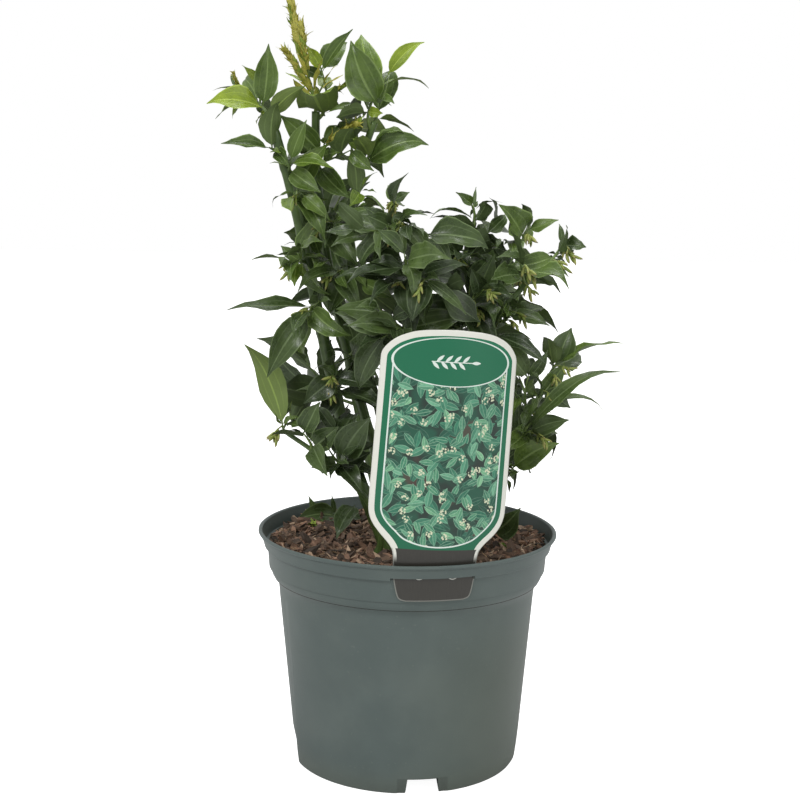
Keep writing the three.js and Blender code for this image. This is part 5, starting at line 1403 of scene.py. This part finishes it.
def joinTubes(name, tubes, tones):  # tubes may differ in rings, but not in sides
    places, quads, tips, uvs, values = [], [], [], [], []
    start = 0
    for tube, tone in zip(tubes, tones):
        rings, sides = tube.shape[:2]
        count = rings * sides
        quads.append(gridFaces(1, rings, sides, closed=True) + start)
        cap = np.arange(sides)
        pole = start + (rings - 1) * sides
        tips.append(np.stack([pole + cap, pole + (cap + 1) % sides, np.full(sides, start + count)], 1))
        places.append(tube.reshape(-1, 3))
        places.append(tube[-1].mean(0, keepdims=True))
        along = np.repeat(np.linspace(0, 1, rings), sides)
        around = np.tile(cap / sides, rings)
        uvs.append(np.stack([around, along], 1))
        uvs.append([[0.5, 1.0]])
        values.append(np.full(count + 1, tone))
        start += count + 1
    values = {"tone": np.concatenate(values)}
    faceSets = [np.concatenate(quads), np.concatenate(tips)]
    return pieceFromArrays(name, np.concatenate(places), faceSets, np.concatenate(uvs), values)


def caneTube(cane, index):
    length = curveLength(cane["path"])
    rings = int(length / caneForm["ring"])
    share = np.linspace(0, 1, rings)[:, None]
    turn = np.linspace(0, 2 * math.pi, caneForm["sides"], endpoint=False)[None]
    radius = caneRadius(cane, share) * caneForm["girth"]
    radius = radius * (1 + caneForm["flare"] * np.maximum(0, 1 - share / caneForm["flareReach"]))
    beat = share * length / caneForm["joint"] + 0.3 * index
    joint = np.abs((beat % 1) - 0.5) * 2
    swell = caneForm["swell"] * np.maximum(0, joint - 0.75) * 4
    side = np.floor(beat) * 2.4 + index
    broad, slim = caneForm["ribs"]
    ribs = broad * np.cos(5 * turn + side) + slim * np.sin(11 * turn + 40 * share)
    scar = caneForm["scar"] * np.maximum(0, np.cos(turn - side)) ** 6 * np.maximum(0, joint - 0.8) * 5
    grain, beats = caneForm["grain"]
    bark = grain * np.sin(beats * share * length + 3 * turn + index)
    return tubePlaces(cane["path"], radius * (1 + swell + ribs + scar + bark), caneForm["sides"])


twigLook = {"sides": 7, "ring": 0.0022, "beat": 0.0014, "bumps": 0.12, "ribs": 0.03, "sunk": 0.0012}


def twigTube(twig, index):
    curve = twig["curve"]
    length = curveLength(curve)
    sides = twigLook["sides"]
    rings = max(6, int(length / twigLook["ring"]))
    share = np.linspace(0, 1, rings)[:, None]
    turn = np.linspace(0, 2 * math.pi, sides, endpoint=False)[None]
    radius = twig["radiusAt"](share) * (1.15 - 0.25 * share)
    bumps = twigLook["bumps"] * np.sin(share * length / twigLook["beat"] + index) ** 4
    radius = radius * (1 + bumps + twigLook["ribs"] * np.cos(3 * turn))
    return tubePlaces(curve, radius, sides)


def seatedStem(mass):  # the drawn stem starts inside its cane
    base, knee, tip = shootCurve(mass)
    if mass["at"] < 1:
        base = bezier(canes[mass["on"]]["path"], mass["at"])
    else:
        base = base - tangent(canes[mass["on"]]["path"], 1.0) * twigLook["sunk"]
    return {"curve": [base, knee, tip], "radiusAt": shootRadius}


def rindGroup():  # green rind with pale lines along it and brown warts
    sockets = {"Vector": "Vector", "Surface": "Vector", "Dark": "Color", "Light": "Color"}
    group, given, result = newGroup("rind", sockets, {"Color": "Color", "Height": "Float"})
    shades = {"First": given["Dark"], "Second": given["Light"]}
    mottle = placeGroup(group, "mottle", Vector=given["Vector"], Scale=60.0, **shades)
    stretched = addNode(group, "ShaderNodeMapping", {"Vector": given["Surface"], "Scale": (26.0, 5.0, 1.0)})
    lines = noiseNode(group, stretched.outputs[0], 1.0, 4.0)
    paler = times(group, ramp(group, lines, 0.5, 0.72), 0.4)
    color = mixColors(group, paler, mottle["Color"], rgb(120, 140, 84))
    warts = addNode(group, "ShaderNodeTexVoronoi", {"Vector": given["Vector"], "Scale": 620.0})
    spots = times(group, ramp(group, warts.outputs["Distance"], 0.22, 0.1), 0.4)
    group.links.new(mixColors(group, spots, color, rgb(104, 92, 62)), result["Color"])
    group.links.new(plus(group, lines, spots), result["Height"])
    return group


groups["rind"] = rindGroup()


def stemMaterial(name, dark, light, roughness):
    return tintMaterial(name, "rind", roughness, (0.4, 0.0003), {"Dark": dark, "Light": light})


def buildStems():
    tubes = [caneTube(cane, i) for i, cane in enumerate(canes.values())]
    piece = joinTubes("stems", tubes, np.linspace(0, 1, len(tubes)))
    material = stemMaterial("greenBark", (62, 84, 38), (88, 112, 54), 0.36)
    finishPiece(piece, material, list(canes))
    twigs = [seatedStem(mass) for mass in masses.values()]
    twigs += [twig for twig in allTwigs if twig["radiusAt"] is twigRadius] + youngStalks
    tubes = [twigTube(twig, i) for i, twig in enumerate(twigs)]
    piece = joinTubes("twigs", tubes, np.linspace(0, 1, len(tubes)))
    material = stemMaterial("twigBark", (78, 100, 48), (116, 138, 70), 0.42)
    finishPiece(piece, material, list(masses))
    print("stems and twigs:", len(canes), "and", len(twigs))


buildStems()


# Leaves: folded, wavy blades with a stalk and a drawn-out tip, in pieces of one tone each

tones = {
    "k": ("deep", (49, 64, 36), (63, 80, 44), (68, 83, 49)),
    "d": ("dark", (62, 80, 43), (79, 99, 51), (74, 91, 51)),
    "m": ("mid", (74, 96, 41), (92, 115, 49), (84, 102, 54)),
    "f": ("fresh", (92, 118, 38), (114, 139, 46), (104, 123, 60)),
    "b": ("bright", (118, 143, 38), (142, 163, 50), (140, 160, 64)),
    # The grey tone is painted sheen on up-facing leaves
    "g": ("greySheen", (80, 99, 58), (98, 116, 70), (110, 128, 80)),
    "y": ("young", (158, 156, 52), (204, 196, 92), (188, 184, 88)),
}
# The letters that a mass's leaves are dealt from. Low and inner sprays get the darker mixes: partly their
# leaves' own deeper green, partly painted shade. The crown gets fresher ones: partly young growth, partly
# painted light. The grey tone, dealt on the dome's top by the pale mix, is painted sheen.
mixes = {
    "crown": "fffmmmb", "upper": "mmmmff", "half": "mmddd", "low": "dddkk", "shade": "kkkkdd",
    "young": "yyyyyyb", "pale": "ffmgg", "weeds": "bfb",
}
leafLook = {
    "wave": 0.34, "beats": (1.1, 2.3), "droop": 0.16, "sway": 0.06, "twist": 0.6, "folds": (1.0, 2.9),
    "thinnest": 0.00022, "keel": 0.0006, "paler": 42, "seed": 7,
}


def leafBlades(leaves, random):  # every blade at once: leaves by rows by columns
    stack = lambda key: np.array([leaf[key] for leaf in leaves])
    root, direction, face, side = (stack(key)[:, None, None] for key in ("root", "direction", "face", "side"))
    curl, length, width = (stack(key)[:, None, None] for key in ("curl", "length", "width"))
    count = len(leaves)
    stations, spans = np.array(leafForm["outline"]).T
    share = stations[None, :, None]
    part = np.array(leafForm["parts"])[None, None]
    half = np.maximum(spans[None, :, None] * width / 2, leafLook["thinnest"])
    across = part * half
    body = np.interp(share, [0, 0.1, 0.3, 0.75, 1], [0, 0.2, 1, 1, 0.3])
    vary = lambda low, high: random.uniform(low, high, (count, 1, 1))
    phase = vary(0, 2 * math.pi)
    swing = np.sin(phase + vary(*leafLook["beats"]) * 2 * math.pi * share + 0.9 * np.sign(part))
    ripple = leafLook["wave"] * vary(0.4, 1.3) * half * part ** 2 * swing * body
    fold = leafForm["fold"] * vary(*leafLook["folds"])
    keel = fold * (np.sqrt(across ** 2 + leafLook["keel"] ** 2) - leafLook["keel"])
    end = np.maximum(0, (share - 0.7) / 0.3) ** 2
    droop = -leafLook["droop"] * length * end * vary(-0.3, 1.2)
    twist = vary(-1, 1) * leafLook["twist"] * share
    radius = length / curl
    angle = share * curl
    height = keel + ripple + droop + across * np.sin(twist)
    run = np.sin(angle) * (radius + height)
    rise = np.cos(angle) * (radius + height) - radius
    sway = leafLook["sway"] * length * vary(-1, 1) * np.sin(math.pi * share)
    beside = across * np.cos(twist) + sway
    places = root + run[..., None] * direction + rise[..., None] * face + beside[..., None] * side
    surface = np.stack(np.broadcast_arrays(0.5 + 0.5 * part, share), -1)
    return places, np.broadcast_to(surface, (count, *surface.shape[1:]))


def bladeGroup():  # a leaf's skin: midrib, two side nerves, cross veins, a pale margin and a duller underside
    sockets = {"Vector": "Vector", "Surface": "Vector", "Tone": "Float", "Back": "Float"}
    sockets.update({name: "Color" for name in ("Dark", "Light", "Pale", "Under")})
    results = {"Color": "Color", "Roughness": "Float", "Height": "Float"}
    group, given, result = newGroup("blade", sockets, results)
    split = splitXYZ(group, given["Surface"])
    off = absolute(group, minus(group, split["X"], 0.5))
    aside = absolute(group, minus(group, off, 0.27))
    nerves = times(group, ramp(group, aside, 0.03, 0.006), ramp(group, split["Y"], 0.95, 0.6))
    ribs = larger(group, ramp(group, off, 0.05, 0.014), times(group, nerves, 0.35))
    slant = minus(group, split["Y"], times(group, off, 0.55))
    cross = ramp(group, mathNode(group, "SINE", times(group, slant, 75.0)), 0.75, 1.0)
    margin = ramp(group, off, 0.44, 0.48)
    shades = {"First": (0.7, 0.73, 0.7, 1), "Second": (1.16, 1.14, 1.08, 1)}
    patches = placeGroup(group, "mottle", Vector=given["Vector"], Scale=70.0, **shades)
    base = mixColors(group, given["Tone"], given["Dark"], given["Light"])
    base = mixColors(group, 1.0, base, patches["Color"], "MULTIPLY")
    lines = larger(group, ribs, margin)
    base = mixColors(group, times(group, lines, 0.7), base, given["Pale"])
    below = mixColors(group, times(group, ribs, 0.5), given["Under"], given["Pale"])
    group.links.new(mixColors(group, given["Back"], base, below), result["Color"])
    gloss = timesPlus(group, patches["Value"], 0.12, 0.24)
    group.links.new(timesPlus(group, given["Back"], 0.25, gloss), result["Roughness"])
    leather = times(group, noiseNode(group, given["Vector"], 900.0, 3.0), 0.35)
    relief = timesPlus(group, ribs, -0.9, leather)
    group.links.new(timesPlus(group, cross, -0.22, relief), result["Height"])
    return group


groups["blade"] = bladeGroup()


def leafMaterial(name, dark, light, under):
    pale = [min(255, channel + leafLook["paler"]) for channel in light]
    colors = {"Dark": dark, "Light": light, "Pale": pale, "Under": under}
    return tintMaterial(name + "Leaf", "blade", 0.3, (0.5, 0.0004), colors, Specular_IOR_Level=0.42)


def dealTones():
    byTone = {letter: [] for letter in tones}
    random = np.random.default_rng(leafLook["seed"])
    for spray in sprays:
        letters = mixes[spray.get("mix") or masses[spray["name"]]["mix"]]
        for leaf in spray["leaves"]:
            leaf["tone"] = random.uniform(0, 1)
            byTone[letters[random.integers(len(letters))]].append(leaf)
    return byTone


def buildLeaves():
    random = np.random.default_rng(leafLook["seed"])
    for letter, leaves in dealTones().items():
        if not leaves:
            continue
        name, dark, light, under = tones[letter]
        places, surface = leafBlades(leaves, random)
        rows, columns = len(leafForm["outline"]), len(leafForm["parts"])
        faces = gridFaces(len(leaves), rows, columns)[:, ::-1]
        values = {"tone": np.repeat([leaf["tone"] for leaf in leaves], rows * columns)}
        uvs = surface.reshape(-1, 2)
        piece = pieceFromArrays("leaves_" + name, places.reshape(-1, 3), [faces], uvs, values)
        finishPiece(piece, leafMaterial(name, dark, light, under))
        print("leaves", name, len(leaves))


buildLeaves()


# Bud clusters: slim pointed buds on short stalks that hang from the stems

budLook = {
    "buds": (5, 8), "stalk": (0.007, 0.013), "length": (0.0057, 0.0088),
    "wide": 0.27, "hang": 0.7, "sides": 6, "seed": 23,
    "toViewer": 1.1, "stray": 0.45, "sink": 0.35, "stalkRadius": 0.00042, "leans": (25, 60),
    "profile": [(0.0, 0.22), (0.1, 0.6), (0.35, 1.0), (0.7, 0.86), (0.9, 0.5), (1.0, 0.06)],
}


def budTube(root, direction, length, bow):
    curve = [root, root + direction * length * 0.5 + bow * length * 0.1, root + direction * length]
    shares, parts = np.array(budLook["profile"]).T
    steps = np.interp(np.linspace(0, 1, 7), shares, parts)[:, None]
    radii = steps * length * budLook["wide"] / 2 * np.ones((1, budLook["sides"]))
    return tubePlaces(curve, radii, budLook["sides"])


def buildBuds():
    random = np.random.default_rng(budLook["seed"])
    tubes, stalks = [], []
    for mass in masses.values():
        stem = shootCurve(mass)
        for share in mass.get("buds", []):
            root = bezier(stem, share)
            outward = outwardAt(root) + np.array([0.0, -budLook["toViewer"], 0.0])
            heading = unit(outward + random.normal(0, budLook["stray"], 3) - budLook["sink"] * skyward)
            reach = random.uniform(*budLook["stalk"])
            tip = root + heading * reach + np.array([0.0, 0.0, -0.25]) * reach
            stalk = [root, root + heading * reach * 0.6, tip]
            stalks.append({"curve": stalk, "radiusAt": lambda share: budLook["stalkRadius"] + 0 * share})
            count = random.integers(*budLook["buds"])
            for i in range(count):
                place = bezier(stalk, 0.35 + 0.65 * i / (count - 1))
                lean = random.uniform(*budLook["leans"]) * degree
                side = headingFrom(unit(tip - root), root, i * goldenTurn, lean)
                direction = unit(side - budLook["hang"] * skyward)
                length = random.uniform(*budLook["length"])
                tubes.append(budTube(place, direction, length, random.normal(0, 1, 3)))
    piece = joinTubes("buds", tubes, random.uniform(0, 1, len(tubes)))
    finishPiece(piece, budMaterial())
    stems = [twigTube(one, i) for i, one in enumerate(stalks)]
    piece = joinTubes("bud_stalks", stems, np.linspace(0, 1, len(stems)))
    material = stemMaterial("budStalk", (118, 132, 66), (140, 150, 84), 0.5)
    finishPiece(piece, material)
    print("buds:", len(tubes), "in", len(stalks), "clusters")


def budMaterial():
    made, tree, shader = newMaterial("budSkin", 0.45)
    share = splitXYZ(tree, surfacePlace(tree))["Y"]
    base = mixColors(tree, attribute(tree, "tone"), rgb(122, 142, 62), rgb(164, 172, 96))
    shades = {"First": (0.84, 0.86, 0.8, 1), "Second": (1.1, 1.08, 1, 1)}
    color = placeGroup(tree, "mottle", Vector=objectPlace(tree), Scale=240.0, **shades)
    base = mixColors(tree, 1.0, base, color["Color"], "MULTIPLY")
    tips = times(tree, ramp(tree, share, 0.62, 0.95), 0.5)
    tree.links.new(mixColors(tree, tips, base, rgb(148, 112, 84)), shader.inputs["Base Color"])
    addBump(tree, shader, color["Value"], 0.3, 0.0003)
    return made


buildBuds()


# Stage: a pale floor, soft lights and the camera of the photograph

view = {
    "target": (-0.0063, 0.0, 0.2331), "distance": 0.91, "down": 8.81, "roll": 1.03, "lens": 64.2,
    "sensor": 36.0, "floor": 6.0, "ambient": 0.6, "floorGlow": 0.95,
}
lights = {
    "key": {"place": (-0.8, -1.2, 1.4), "size": 0.6, "power": 12.0},
    "fill": {"place": (1.3, -1.0, 0.8), "size": 1.2, "power": 5.0},
    "top": {"place": (0.1, 0.2, 1.6), "size": 0.8, "power": 8.0},
}


def placeCamera():
    down = view["down"] * degree
    forward = Vector((0, math.cos(down), -math.sin(down)))
    right = Vector((1, 0, 0))
    upward = right.cross(forward)
    roll = view["roll"] * degree
    turnedRight = right * math.cos(roll) + upward * math.sin(roll)
    turnedUp = upward * math.cos(roll) - right * math.sin(roll)
    data = bpy.data.cameras.new("photo_camera")
    data.lens = view["lens"]
    data.sensor_width = view["sensor"]
    camera = bpy.data.objects.new("photo_camera", data)
    place = Vector(view["target"]) - forward * view["distance"]
    axes = Matrix((turnedRight, turnedUp, -forward)).transposed()
    camera.matrix_world = Matrix.Translation(place) @ axes.to_4x4()
    bpy.context.scene.collection.objects.link(camera)
    bpy.context.scene.camera = camera


def placeLights():
    middle = Vector(view["target"])
    for name, one in lights.items():
        data = bpy.data.lights.new(name, "AREA")
        data.shape = "DISK"
        data.size = one["size"]
        data.energy = one["power"]
        lamp = bpy.data.objects.new(name, data)
        lamp.location = one["place"]
        lamp.rotation_euler = (middle - lamp.location).to_track_quat("-Z", "Y").to_euler()
        bpy.context.scene.collection.objects.link(lamp)


def buildStage():
    floor = bmesh.new()
    bmesh.ops.create_grid(floor, x_segments=8, y_segments=8, size=view["floor"])
    piece = pieceFromBmesh("floor", floor)
    shades = {"Base_Color": (0.7, 0.7, 0.7, 1), "Emission_Color": (1, 1, 1, 1)}
    made, tree, shader = newMaterial("paleFloor", 0.9, **shades)
    seen = addNode(tree, "ShaderNodeLightPath").outputs["Is Camera Ray"]
    tree.links.new(times(tree, seen, view["floorGlow"]), shader.inputs["Emission Strength"])
    piece.data.materials.append(made)
    world = bpy.data.worlds.new("studio")
    world.use_nodes = True
    sky = world.node_tree
    seen = addNode(sky, "ShaderNodeLightPath").outputs["Is Camera Ray"]
    strength = timesPlus(sky, seen, 1 - view["ambient"], view["ambient"])
    setSockets(sky, sky.nodes["Background"], {"Color": (1, 1, 1, 1), "Strength": strength})
    bpy.context.scene.world = world
    bpy.context.scene.view_settings.view_transform = "Standard"
    placeLights()
    placeCamera()


buildStage()
print("stage and camera set")

bpy.context.view_layer.update()
